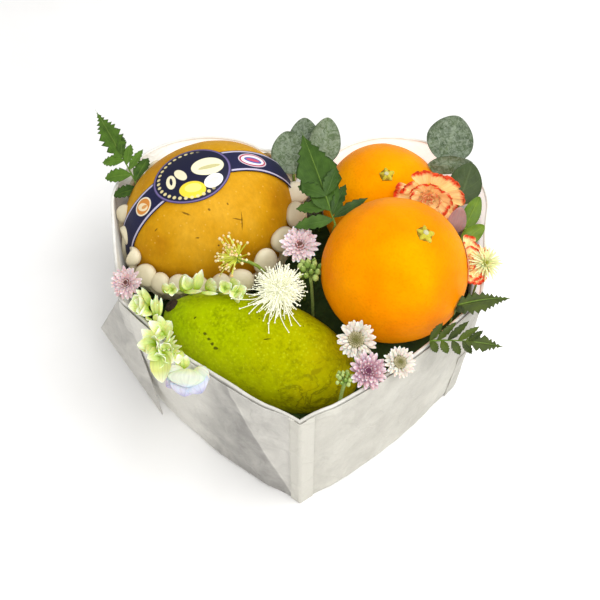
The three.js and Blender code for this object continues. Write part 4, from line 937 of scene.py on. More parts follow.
def flap_skin():
    """The loose flap at the left corner: a patch whose point is the mean of its four corners by the
    shares u and v, bowed outwards by sin(pi u) sin(pi v) and lightly creased."""
    a, b, c, d = (np.array(p) for p in FLAP)
    v = np.linspace(0, 1, 60)[:, None, None]
    u = np.linspace(0, 1, 40)[None, :, None]
    points = (a * (1 - u) + b * u) * (1 - v) + (c * (1 - u) + d * u) * v
    normal = unit(np.cross(d - a, c - b))
    bow = 1.2 * np.sin(np.pi * u) * np.sin(np.pi * v)
    return points - np.sign(normal[1]) * normal * (bow + 0.7 * creases(points, 38, 21)[..., None])


def bed_height(x, y):
    """Level bedding with a bell-shaped mound under the front citrus."""
    far = np.hypot(x - MOUND["x"], y - MOUND["y"]) / MOUND["wide"]
    return BED_H + MOUND["high"] * np.exp(-far * far / 2)


def bed_skin():
    """The bedding as rings: up from the middle of the tray's floor, then its crumpled top from the
    edge inwards to the middle, its height that of bed_height plus creases and ripples."""
    index = row(-28, 28, 280)
    edge = on_wall(index, BED_H / TRAY_H, -WALL - BED_GAP)
    low = on_wall(index, FLOOR / TRAY_H, -WALL - BED_GAP)
    low[..., 2] = FLOOR + BED_LIFT
    share = np.linspace(1, 0, 70)[:, None, None]
    flat = MIDDLE + (edge - MIDDLE) * share
    height = bed_height(flat[..., 0], flat[..., 1])
    spot = np.stack([flat[..., 0], flat[..., 1], 0 * height], axis=-1)
    crumple = 5.5 * (creases(spot, 26, 5) - 0.7) + 1.0 * ripple(spot, 9, 6)
    flat[..., 2] = height + crumple * smooth(1.0, 0.93, share[..., 0]) - 2.5 * share[..., 0] ** 6
    foot = np.broadcast_to(MIDDLE + (FLOOR + BED_LIFT) * UP, low.shape)
    return np.concatenate([foot, low, flat])


wall = tray_skin()
# painted shade: the tray's paper is toned darker towards the front and lighter towards the back
shade = 0.3 + 0.6 * smooth(-60, 10, wall[..., 1])
rim = 33  # row of the wall's grid where the outside ends
tray = Skin().add(wall[:rim + 1], tone=shade[:rim + 1]).add(wall[rim:], tone=shade[rim:], kind=1)
piece("tray_card", tray, [card_skin, card_inside], ["tray"])

# Sheets on the wall: piece, node and finish; first and last outline index, lowest and highest share
# of the height, distance from the wall, columns, rows, relief, seed, tone, slant of first and last
SHEETS = (
    ("paper_left_sheet", "paper_left", paper_left_skin, -0.3, -10.3, 0.004, 0.99, PAPER_OFF + PAPER_T / 2,
     300, 120, 2.5, 31, left_shade, 0.0, -1.3),
    ("paper_right_sheet", "paper_right", paper_right_skin, 0.3, 11.4, 0.004, 0.99, PAPER_OFF + PAPER_T / 2,
     300, 120, 2.1, 41, right_shade, 0.0, 0.6),
    ("paper_tip_strip_fold", "paper_tip_strip", paper_right_skin, -0.46, 0.68, 0.004, 0.996, 1.25, 40, 120,
     0.5, 51, 0.85),
    ("paper_corner_fold_sheet", "paper_corner_fold", paper_right_skin, 9.6, 11.4, 0.004, 0.45, 2.4, 60, 60,
     0.7, 61, 0.45, 0.5, 0.3))
for name, node_name, finish, *form in SHEETS:
    sheet = Skin().add(*sheet_skin(*form))
    if node_name == "paper_left":
        # painted shade: the loose flap is toned darker, grey as in shadow
        sheet.add(flap_skin(), tone=0.46)
    piece(name, sheet, [finish], [node_name], wall=PAPER_T)

piece("bedding", Skin().add(bed_skin()), [dark_shade_bedding], ["tissue_bed"])


# Fruit, band and foam

def fruit_skin(fruit, rows, cols, lump, seed):
    """The whole fruit: its dented ellipsoid, moved out from its centre by lump times a ripple."""
    points = fruit_points(fruit, column(0, np.pi, rows), row(0, TAU, cols + 1))
    return points + unit(points - np.array(fruit["c"])) * (lump * ripple(points, 44, seed, 3))[..., None]


def on_girth(w, across, lift):
    """Point over the pear's girth: w is the angle from its top, across the offset along its axis."""
    axes, centre = fruit_frame(PEAR)
    long, side, high = PEAR["size"]
    w, across, lift = np.broadcast_arrays(w, across, lift)
    share = np.minimum(0.98, np.abs(across) / long)
    round_ = np.sqrt(1 - share ** 2)
    local = np.stack([across, side * round_ * np.sin(w), high * round_ * np.cos(w)], axis=-1)
    normal = unit(np.stack([across / long ** 2, round_ * np.sin(w) / side, round_ * np.cos(w) / high],
                           axis=-1))
    return centre + (local + normal * lift[..., None]) @ axes.T


def band_skin():
    """A closed strip round the girth, 0.6 mm thick: at an arc from the label's middle its half width
    is the greater of the strip's and the label's ellipse there, and it slants by BAND_SLANT. Steps e
    from -0.5 to 0.5 lie closest at the label: the angle round the girth is TAU (0.55 e + 1.8 e^3)."""
    even = column(-0.5, 0.5, 721)
    w = TAU * (even * 0.55 + 1.8 * even ** 3) + LABEL_AT
    arc = (w - LABEL_AT) * BAND_ROUND
    label = LABEL_WIDE * np.sqrt(np.clip(LABEL_R ** 2 - arc ** 2, 0, None))
    slant = BAND_SHIFT + BAND_SLANT * np.clip(arc, -60, 60)
    half = np.maximum(BAND_W / 2, label)
    lane = np.linspace(-1, 1, 33)
    lanes = np.concatenate([lane, lane[::-1], lane[:1]])[None, :]
    lift = np.concatenate([np.full(33, BAND_LIFT + BAND_T), np.full(33, BAND_LIFT),
                           [BAND_LIFT + BAND_T]])[None, :]
    points = on_girth(w, slant + half * lanes, lift + 0 * w)
    uv = grid(arc / BAND_UNIT, half * lanes / BAND_UNIT)
    return points, uv


def keep_inside(points):
    """Points at the back of the left lobe and of the notch are drawn in until they clear the wall."""
    middle = np.stack([LOBE["flare"] * (1 - points[..., 2] / TRAY_H) - LOBE["x"],
                       LOBE["y"] + 0 * points[..., 0]], axis=-1)
    away = points[..., :2] - middle
    far = np.hypot(away[..., 0], away[..., 1])
    turn = np.degrees(np.arctan2(away[..., 1], away[..., 0]))
    walled = (turn > FREE_TO) | (turn < FREE_FROM)
    limit = np.where(walled, LOBE["r"] - WALL - 0.7, NO_LIMIT)
    flat = middle + away * np.minimum(1, limit / far)[..., None]
    back = NOTCH_Y - WALL - 3.4 + 0.05 * np.abs(flat[..., 0])
    flat[..., 1] = np.minimum(flat[..., 1], np.where(turn > 0, back, NO_LIMIT))
    return np.concatenate([flat, points[..., 2:]], axis=-1)


def foam_point(az, el, lift):
    """Point on the pear's surface in a direction from its centre, moved out along its normal."""
    axes, centre = fruit_frame(PEAR)
    az, el, lift = np.broadcast_arrays(az, el, lift)
    way = np.stack([np.cos(az) * np.cos(el), np.sin(az) * np.cos(el), np.sin(el)], axis=-1)
    local = way @ axes / np.array(PEAR["size"])
    reach = 1 / np.linalg.norm(local, axis=-1, keepdims=True)
    normal = unit((local / np.array(PEAR["size"])) @ axes.T)
    return keep_inside(centre + way * reach + normal * lift[..., None])


def foam_cushions(skin):
    """Round cushions in front, each a thick lens r < 1 with edge height (1 - r^3)^0.5 that leans out
    and towards the open side, on a strap from the cup."""
    rng = np.random.default_rng(17)
    centre = np.array(PEAR["c"])
    r = column(0, 1, 14)
    a = row(0, TAU, 33)
    for x, y, z, size in FOAM_FRONT:
        at = np.array([x, y, z], float)
        out = unit((at - centre) * [1, 1, 0.3])
        face = unit(0.5 * out + 0.85 * heading(-90, 52) + rng.normal(0, 0.08, 3))
        base = frame_at(face, rng.uniform(0, TAU))
        egg = 0.05 * np.cos(2 * a + rng.uniform(0, TAU))
        wide = size * (1 + egg + 0.03 * np.cos(3 * a + rng.uniform(0, TAU)))
        puff = (1 - r ** 3) ** 0.5
        lens = shell(*(grid(wide * r * np.cos(a), wide * r * np.sin(a), h * puff - 0.9 * r ** 2)
                       for h in (2.9, -1.8)))
        tone = rng.uniform(0.25, 0.75)
        skin.add(keep_inside(at + lens @ base.T), tone=tone)
        az = np.arctan2(at[1] - centre[1], at[0] - centre[0])
        strap = bent_path([foam_point(az, -0.55, 3.6), foam_point(az, -0.2, 4.6), at - face * 1.6])
        skin.add(tubes(strap[None], 2.6, 10), tone=tone)


def foam_petals(skin):
    """Pads behind: ellipses r < 1 in the pear's own surface by azimuth and elevation, with a height
    of 2.6 (1 - r^3.2)^0.5 over their middle sheet."""
    rng = np.random.default_rng(18)
    for place in FOAM_BEHIND:
        az = np.radians(place) + rng.normal(0, 0.02)
        wide = 0.15 + 0.01 * rng.normal()
        tall = 0.205 + 0.012 * rng.normal()
        mid = 0.15 + 0.02 * rng.normal()
        r = column(0, 1, 14)
        a = row(0, TAU, 33) + rng.normal(0, 0.1)
        x = wide * r * np.cos(a)
        y = tall * r * np.sin(a) * (1 + 0.1 * np.sin(a))
        puff = 2.6 * (1 - r ** 3.2) ** 0.5
        pad = shell(*(foam_point(az + x, mid + y, PAD_LIFT + h * puff) for h in (1, -0.8)))
        skin.add(pad, tone=rng.uniform(0.25, 0.75))


def foam_cup_skin():
    """The cup below its petals: the pear's shape moved out by FOAM_IN and by FOAM_OUT, from its
    lowest point up to its edge."""
    az = row(0, TAU, 161)
    el = column(-np.pi / 2, -0.12, 24)
    return shell(foam_point(az, el, FOAM_OUT), foam_point(az, el, FOAM_IN))


def calyx_skin(fruit, size, seed):
    """A withered star on the stalk pole, its radius 0.5 + 0.42 |cos 2.5 a|^2.2 by the turn a, which
    sags with the fruit, on a shaded dish and under a round button."""
    axes, centre = fruit_frame(fruit)
    tip = centre + axes[:, 0] * (fruit["size"][0] * (1 - fruit["dent"]) + 0.25)
    base = frame_at(axes[:, 0], 0.4)
    rng = np.random.default_rng(seed)
    a = row(0, TAU, 61)
    r = column(0, 1, 10)
    reach = size * (0.5 + 0.42 * np.abs(np.cos(2.5 * a)) ** 2.2 + 0.1 * np.sin(a + rng.uniform(0, 6)))
    sag = -(reach * r) ** 2 / (2 * fruit["size"][0])
    high = 1.7 * (1 - r ** 2.5) + sag + 0.45 * np.sin(5 * a + 1) * r ** 2 + 0.4
    low = sag - 0.3 + 0 * a
    star = shell(*(grid(reach * r * np.cos(a), reach * r * np.sin(a), h) for h in (high, low)))
    button = knob(10, 25, (0.27 * size, 0.27 * size, 1.1), 0.5, 0.5) + 1.75 * UP
    wide = 0.74 * size * r
    dish = shell(*(grid(wide * np.cos(a), wide * np.sin(a),
                        -wide ** 2 / (2 * fruit["size"][0]) + h * (1 - r)) for h in (0.7, -0.3)))
    skin = Skin().add(tip + dish @ base.T, kind=2).add(tip + star @ base.T)
    return skin.add(tip + button @ base.T, tone=0.7, kind=1)


def green_fruit_skin():
    """The green fruit, moved out from its centre by a ripple."""
    points = green_points(column(0, np.pi, 180), row(0, TAU, 241))
    return points + unit(points - np.array(GREEN["c"])) * (0.4 * ripple(points, 40, 74))[..., None]


def scar_skin():
    """The stalk scar: a rough, dimpled knob on the green fruit's surface at SCAR_AT."""
    at, base, _, _ = mark_places(green_points, [SCAR_AT])[0]
    cork = knob(16, 33, SCAR_SIZE, 1.8, 0.45)
    cork = cork + 0.3 * ripple(cork, 5, 9)[..., None] * unit(cork + 1e-6)
    return at + cork @ base.T


piece("pear_fruit", Skin().add(fruit_skin(PEAR, 180, 260, 0.35, 71)), [pear_russet], ["pear"])
piece("citrus_front_fruit", Skin().add(fruit_skin(CITRUS_F, 180, 260, 0.35, 72)), [peel_front],
      ["citrus_front"])
piece("citrus_back_fruit", Skin().add(fruit_skin(CITRUS_B, 160, 240, 0.3, 73)), [peel_back],
      ["citrus_back"])
piece("green_fruit_body", Skin().add(green_fruit_skin()), [lime_skin], ["green_fruit"])
piece("printed_band", Skin().add(*band_skin()), [printed_band], ["band"])

cup = Skin().add(foam_cup_skin(), tone=0.3)
foam_cushions(cup)
foam_petals(cup)
piece("foam_cup_petals", cup, [foam], ["foam_cup"])
calyx_skins = [calyx_green, calyx_button, calyx_shade]
piece("calyx_front_star", calyx_skin(CITRUS_F, 6.6, 1), calyx_skins, ["calyx_front"])
piece("calyx_back_star", calyx_skin(CITRUS_B, 5.6, 2), calyx_skins, ["calyx_back"])
piece("green_fruit_stalk_scar", Skin().add(scar_skin()), [black_cork], ["green_fruit_scar"])


# Flowers

def stem(skin, points, radius=1.1, kind=0, tone=0.5):
    """A cut stem: a round tube along a smooth curve through the points."""
    path = bent_path(points)[None]
    skin.add(tubes(path, radius, 8), tone=tone, kind=kind)


def petal_shape(t):
    """Half width of a strap petal, with a narrow claw, widest past its middle, with a round tip:
    sin(pi t^0.75)^0.6 times 0.45 + 0.55 t^0.7."""
    return np.clip(np.sin(np.pi * np.clip(t, 0, 1) ** 0.75), 0, 1) ** 0.6 * (0.45 + 0.55 * t ** 0.7)


DISC_FLORETS = 70


def daisy(name, centre, radius, face, rings, foot, skins, disc, node_name, seed):
    """A spray bloom: rings of strap petals, the outer ones flat and the inner shorter and steeper,
    round a dome of small tube florets. Floret k of n lies at turn k * GOLDEN and at the disc's
    radius times ((k + 0.5) / n)^0.5. A ring is (petals, reach, tilt, start, half width, bend). The
    bloom looks along face, an azimuth and an elevation, and foot is the X and Y of its stem's end."""
    rng = np.random.default_rng(seed)
    centre = np.array(centre)
    base = frame_at(heading(*face), 0.3)
    skin = Skin(True)
    for count, reach, tilt, start, width, bend in rings:
        turn = whorl(rng, count, 0.06)
        lift = np.radians(tilt + rng.normal(0, 5, count))
        frames = round_frames(base, turn, lift)
        out = ring_way(turn) * radius * start
        out[:, 2] = radius * (0.02 + 0.1 * np.sin(np.radians(tilt)))
        roots = centre + out @ base.T
        length = radius * (reach - start) * rng.normal(1, 0.05, count)
        points, uv = blades(roots, frames, length, radius * width, petal_shape,
                            bend=bend + rng.normal(0, 0.12, count), cup=0.16, thick=0.22,
                            twist=rng.normal(0, 0.12, count), rows=8, around=8)
        skin.add(points, uv, rng.uniform(0, 1, count))
    k = np.arange(DISC_FLORETS)
    r = np.sqrt((k + 0.5) / DISC_FLORETS) * disc * radius
    a = k * GOLDEN
    spot = grid(r * np.cos(a), r * np.sin(a), radius * (0.1 + 0.5 * (disc ** 2 - (r / radius) ** 2)))
    skin.add(balls(centre + spot @ base.T, radius * 0.05, 5, 6), tone=(r / r[-1]) ** 1.5, kind=1)
    dome = column(0, 1, 6)
    w = row(0, TAU, 25)
    cap = grid(disc * radius * dome * np.cos(w), disc * radius * dome * np.sin(w),
               radius * (0.08 + 0.5 * disc ** 2 * (1 - dome ** 2)))
    low = cap * [1.0, 1.0, 0] + [0, 0, -0.12 * radius]
    skin.add(centre + shell(cap, low) @ base.T, tone=0.2, kind=1)
    cupped = column(0, 1, 7)
    wide = radius * (0.12 + 0.36 * cupped)
    cone = capped(grid(wide * np.cos(w), wide * np.sin(w), radius * (-0.42 + 0.42 * cupped ** 0.6)))
    skin.add(centre + cone @ base.T, tone=0.4, kind=2)
    under = centre - base[:, 2] * radius * 0.35
    lean = 0.15 * (np.array([*foot, 0]) - [*centre[:2], 0])
    stem(skin, [(*foot, STEM_Z), under - 12 * UP + lean, under], 1.1, 2)
    piece(name, skin, [*skins, stem_green], [node_name])


pink_petal = petal_skin("pink spray petal", "#a87c82", "#dec1c2", "#f0e4e1")
pale_pink_petal = petal_skin("pale pink spray petal", "#b67d8c", "#e8ccd0", "#f7eae7")
white_petal = petal_skin("white spray petal", "#b5ab8e", "#e4d8cb", "#f2e9e4")
mauve_petal = petal_skin("mauve spray petal", "#84505f", "#be929f", "#e9d7d9", edge_at=0.6)
cream_petal = petal_skin("cream spider petal", "#c9c86a", "#ecebb0", "#f4f2cf")
pink_disc = plain_growth("pink disc florets", "#6a4640", "#a67a70", 1.5, 0.7)
green_disc = plain_growth("green disc florets", "#74723a", "#c6bc9a", 1.5, 0.7)
mauve_disc = plain_growth("mauve disc florets", "#6d3c55", "#a56f80", 1.5, 0.7)
yellow_disc = plain_growth("yellow disc florets", "#8b8f2e", "#d2cf6a", 1.5, 0.7)

FULL = (
    (18, 1.08, 3, 0.3, 0.2, 0.15), (17, 0.94, 12, 0.28, 0.18, 0.25), (15, 0.76, 24, 0.25, 0.15, 0.35),
    (13, 0.56, 42, 0.2, 0.11, 0.5), (9, 0.4, 62, 0.14, 0.08, 0.6))
OPEN = ((21, 1.08, 4, 0.45, 0.17, 0.15), (20, 0.97, 13, 0.42, 0.16, 0.2), (19, 0.8, 28, 0.38, 0.11, 0.3))
SPIDER = (
    (24, 1.25, 4, 0.2, 0.075, -0.3), (24, 1.05, 20, 0.18, 0.075, -0.2), (20, 0.85, 38, 0.14, 0.07, 0.1),
    (14, 0.6, 58, 0.1, 0.06, 0.2))

daisy("mum_left_bloom", (-105.5, -62.8, 94), 9.4, (250, 60), FULL, (-98, -54), [pink_petal, pink_disc], 0.3,
      "mum_left", 101)
daisy("mum_front_white_bloom", (32.8, -106.3, 94), 11.2, (275, 62), OPEN, (34, -98),
      [white_petal, green_disc], 0.42, "mum_front_white", 102)
daisy("mum_mauve_bloom", (39.1, -127.5, 92.5), 10.7, (290, 58), FULL, (36, -116), [mauve_petal, mauve_disc],
      0.3, "mum_mauve", 103)
daisy("mum_small_bloom", (57.6, -121.7, 93), 9.1, (300, 60), OPEN, (54, -106), [white_petal, green_disc],
      0.4, "mum_small", 104)
daisy("mum_centre_bloom", (0, -35.5, 98), 11.5, (265, 65), FULL, (4, -30), [pale_pink_petal, pink_disc],
      0.28, "mum_centre", 105)
daisy("mum_right_bloom", (113.5, -50.2, 98), 9.4, (300, 55), SPIDER, (108, -44), [cream_petal, yellow_disc],
      0.3, "mum_right", 106)


def fan_shape(t):
    """Half width of a carnation petal, a narrow claw that opens to a fan with a rounded edge: t^0.8,
    past t = 0.3 times (1 - ((t - 0.72) / 0.285)^6)^0.5, or 0 where that is less."""
    fan = np.sqrt(np.clip(1 - ((t - 0.72) / 0.285) ** 6, 0, 1))
    return np.clip(t, 0, 1) ** 0.8 * np.where(t > 0.3, fan, 1)


# Whorls of a carnation: petals, reach, tilt, half width, and how far towards the middle's tone
CARNATION = (
    (12, 1.0, 6, 0.36, 0.0), (10, 0.76, 27, 0.3, 0.1), (6, 0.45, 50, 0.23, 0.5), (5, 0.31, 70, 0.17, 0.9))


def carnation(name, centre, radius, high, face, foot, node_name, seed, press=1.0):
    """A frilled head: whorls of fan petals from nearly flat to upright, each with a softly fluted
    and finely toothed rim, above a green cup. A fruit presses the head in along u, the upward
    direction in its plane: point = point - (1 - press) * ((point - centre) . u) * u."""
    rng = np.random.default_rng(seed)
    centre = np.array(centre)
    base = frame_at(heading(*face), 0.2)
    up = upward(base[:, 2])
    skin = Skin(True)
    for count, reach, tilt, width, inner in CARNATION:
        turn = whorl(rng, count, 0.07)
        lift = np.radians(tilt + rng.normal(0, 6, count))
        frames = round_frames(base, turn, lift)
        roots = centre + (ring_way(turn) * radius * 0.05 + [0, 0, -high * 0.2]) @ base.T
        length = radius * reach * rng.normal(1, 0.07, count)
        phase = rng.uniform(0, TAU, count)[:, None, None]
        flutes = rng.uniform(4.0, 6.5, count)[:, None, None]

        def flute(t, s):
            fine = 0.02 * np.sin(2.7 * flutes * s + 2 * phase)
            return radius * (0.05 * np.sin(flutes * s + phase) + fine) * t ** 2.2

        points, uv = blades(roots, frames, length, radius * width, fan_shape,
                            bend=0.3 + rng.normal(0, 0.1, count), cup=0.12, thick=0.22, wave=flute,
                            rows=14, around=44)
        tooth = 0.03 * np.sign(np.sin(uv[..., :1] * TAU * 5.5)) * smooth(0.8, 0.97, uv[..., 1:])
        root = roots[:, None, None, :]
        points = root + (points - root) * (1 + tooth)
        points = points - (1 - press) * ((points - centre) @ up)[..., None] * up
        skin.add(points, uv, rng.uniform(0, 1, count) * 0.5 + 0.5 * (1 - inner))
    w = row(0, TAU, 25)
    v = column(0, 1, 9)
    wide = radius * (0.16 + 0.1 * v)
    cup = capped(grid(wide * np.cos(w), wide * np.sin(w), -high * (1.1 - 0.7 * v)))
    skin.add(centre + cup @ base.T, kind=1)
    under = centre - base[:, 2] * high
    stem(skin, [(*foot, STEM_Z), under - 20 * UP, under], 1.6, 1)
    piece(name, skin, [peach_petal, stem_green], [node_name])


peach_petal = petal_skin("carnation petal", "#e8702c", "#fbd796", "#d8431f", vein=0.3, edge_at=0.87,
                         sides=0.8, glow=0.13)
carnation("carnation_top_bloom", (81.8, -1, 103), 20.8, 14, (266, 26), (98, 2), "carnation_top",
          111, press=0.84)
carnation("carnation_right_bloom", (102.5, -50, 98), 14.5, 9, (320, 50), (108, -26), "carnation_right", 112)


def filaments(name, centre, radius, face, foot, materials, node_name, seed, count, tip_size,
              long_share, thick, spread=1.12):
    """A brush bloom: curved tapering filaments spring from a small head, filament k at turn
    k * GOLDEN and at the polar angle whose cosine is 1 - spread (k + 0.5) / count. They end in small
    anthers; a few hang out further on one side."""
    rng = np.random.default_rng(seed)
    centre = np.array(centre)
    base = frame_at(heading(*face), 0.0)
    skin = Skin(True)
    k = np.arange(count)
    lift = np.arccos(1 - spread * (k + 0.5) / count)
    turn = k * GOLDEN + rng.normal(0, 0.2, count)
    way = np.stack([np.sin(lift) * np.cos(turn), np.sin(lift) * np.sin(turn), np.cos(lift)],
                   axis=-1) @ base.T
    length = radius * rng.uniform(0.55, 1.15, count)
    hang = np.clip(way @ unit([-0.5, -0.8, -0.2]), 0, 1)
    hangs = rng.uniform(0, 1, count) > 0.55
    length = length * (1 + long_share * hang ** 1.5 * hangs * rng.uniform(0.4, 1, count))
    droop = unit(np.cross(way, rng.normal(size=(count, 3))))
    t = np.linspace(0, 1, 7)[None, :, None]
    path = centre + way[:, None] * length[:, None, None] * t * (1 - 0.1 * t)
    path = path + droop[:, None] * (length * rng.uniform(0.08, 0.42, count))[:, None, None] * t ** 2
    radii = thick * (1 - 0.45 * np.linspace(0, 1, 7))[None, :]
    skin.add(tubes(path, radii * np.ones((count, 1)), 4), tone=rng.uniform(0, 1, count))
    skin.add(balls(path[:, -1], tip_size * rng.uniform(0.8, 1.2, count), 5, 6),
             tone=rng.uniform(0, 1, count), kind=1)
    skin.add(balls(centre[None], radius * 0.2, 9, 14), tone=0.3, kind=2)
    stem(skin, foot(centre), 1.1, 2)
    piece(name, skin, materials, [node_name])


white_thread = plain_growth("white filament", "#eaebd0", "#fdfdf0", 3.0, 0.5, 0.16)
cream_anther = plain_growth("cream anther", "#f0efd2", "#fdfdf0", 1.0, 0.6, 0.14)
lime_thread = plain_growth("yellow-green filament", "#c4cc34", "#e6e878", 3.0, 0.5, 0.08)
orange_anther = plain_growth("cream and orange anther", "#e6c07c", "#f5edc0", 1.0, 0.6)

filaments("filament_bloom", (-12, -66, 92), 15.5, (262, 68),
          lambda c: [(-4, -38, 20), c - [-3, -14, 34], c], [white_thread, cream_anther, stem_green],
          "filament_flower", 121, count=520, tip_size=0.5, long_share=1.2, thick=0.42)
filaments("umbel_bloom", (-38.5, -47, 98.5), 15.5, (200, 48),
          lambda c: [(-21, -42, 20), (-20, -43, 58), (-23, -46, 86), c],
          [lime_thread, orange_anther, stem_green], "umbel_flower", 122, count=64,
          tip_size=0.9, long_share=0.1, thick=0.55, spread=0.66)


def round_petal(t):
    """Half width of a broad petal, a short claw and then nearly a circle: (t / 0.42)^0.75 up to 1,
    times (1 - t^4)^0.5."""
    return np.clip(t / 0.42, 0, 1) ** 0.75 * np.sqrt(np.clip(1 - t ** 4, 0, 1))


def egg_petal(t):
    """Half width of a pointed petal, widest near its middle: sin(pi t^0.85)^0.7."""
    return np.clip(np.sin(np.pi * np.clip(t, 0, 1) ** 0.85), 0, 1) ** 0.7


def floret(skin, rng, at, radius, face, roll, bend):
    """One floret: four broad petals like half shells, of uneven size, overlapping round a bead."""
    petals = 4
    base = frame_at(face, roll)
    turn = TAU * np.arange(petals) / petals + rng.normal(0, 0.14, petals)
    frames = round_frames(base, turn, np.radians(10 + rng.normal(0, 12, petals)))
    roots = np.array(at) + (ring_way(turn) * 0.3) @ base.T
    size = radius * rng.uniform(0.85, 1.12, petals)

    def margin(t, s):
        return radius * 0.025 * np.sin(5 * t + 4 * s)

    points, uv = blades(roots, frames, size, size * 0.5, round_petal,
                        bend=bend + rng.normal(0, 0.15, petals), cup=0.45, thick=0.35, rows=14, around=20,
                        twist=rng.normal(0, 0.12, petals), wave=margin)
    skin.add(points, uv, rng.uniform(0, 1, petals))
    skin.add(balls(np.array(at)[None] + base[:, 2] * radius * 0.12, radius * 0.09, 6, 8), tone=0.8, kind=1)


def loose_petals(skin, rng, rows, kind=0):
    """Single petals. A row is a petal's foot and tip, its half width, its cup and its bend."""
    rows = np.array(rows, float)
    foot, tip = rows[:, 0:3], rows[:, 3:6]
    ahead = unit(tip - foot)
    side = unit(np.cross(np.broadcast_to(heading(-90, 55), ahead.shape), ahead))
    frames = np.stack([ahead, side, np.cross(ahead, side)], axis=-1)
    points, uv = blades(foot, frames, np.linalg.norm(tip - foot, axis=-1), rows[:, 6], egg_petal,
                        bend=rows[:, 8], cup=rows[:, 7], thick=0.3, rows=14, around=20,
                        twist=rng.normal(0, 0.1, len(rows)))
    skin.add(points, uv, rng.uniform(0, 1, len(rows)), kind=kind)


def cluster(name, heads, foot, node_name, seed, petals):
    """A spray of florets on short stalks from one stem, with single petals and thin curled ones. A
    head is its place, radius, azimuth and elevation, and the bend of its petals."""
    rng = np.random.default_rng(seed)
    skin = Skin(True)
    hub = np.array([*foot, 62.0])
    for x, y, z, r, az, el, bend in heads:
        at = np.array([x, y, z], float)
        floret(skin, rng, at, r, heading(az, el), rng.uniform(0, 1.5), bend)
        stem(skin, [hub, (hub + at) / 2 + 4 * UP, at - heading(az, el) * 0.4], 0.55, 1)
    stem(skin, [(*foot, STEM_Z), hub - 16 * UP, hub], 1.3, 1)
    loose_petals(skin, rng, petals)
    piece(name, skin, [green_white, stem_green], [node_name])


green_white = petal_skin("green-white floret petal", "#8eae18", "#d0dc84", "#f8fae2", vein=0.32,
                         edge_at=0.55, glow=0.1)
blue_white = petal_skin("white floret petal", "#c6d096", "#d7dbc8", "#c6cbdc", vein=0.25, edge_at=0.8)
blue_rim = petal_skin("blue-violet floret petal", "#d6dad6", "#c8ccda", "#9da2c0", vein=0.3, edge_at=0.8)

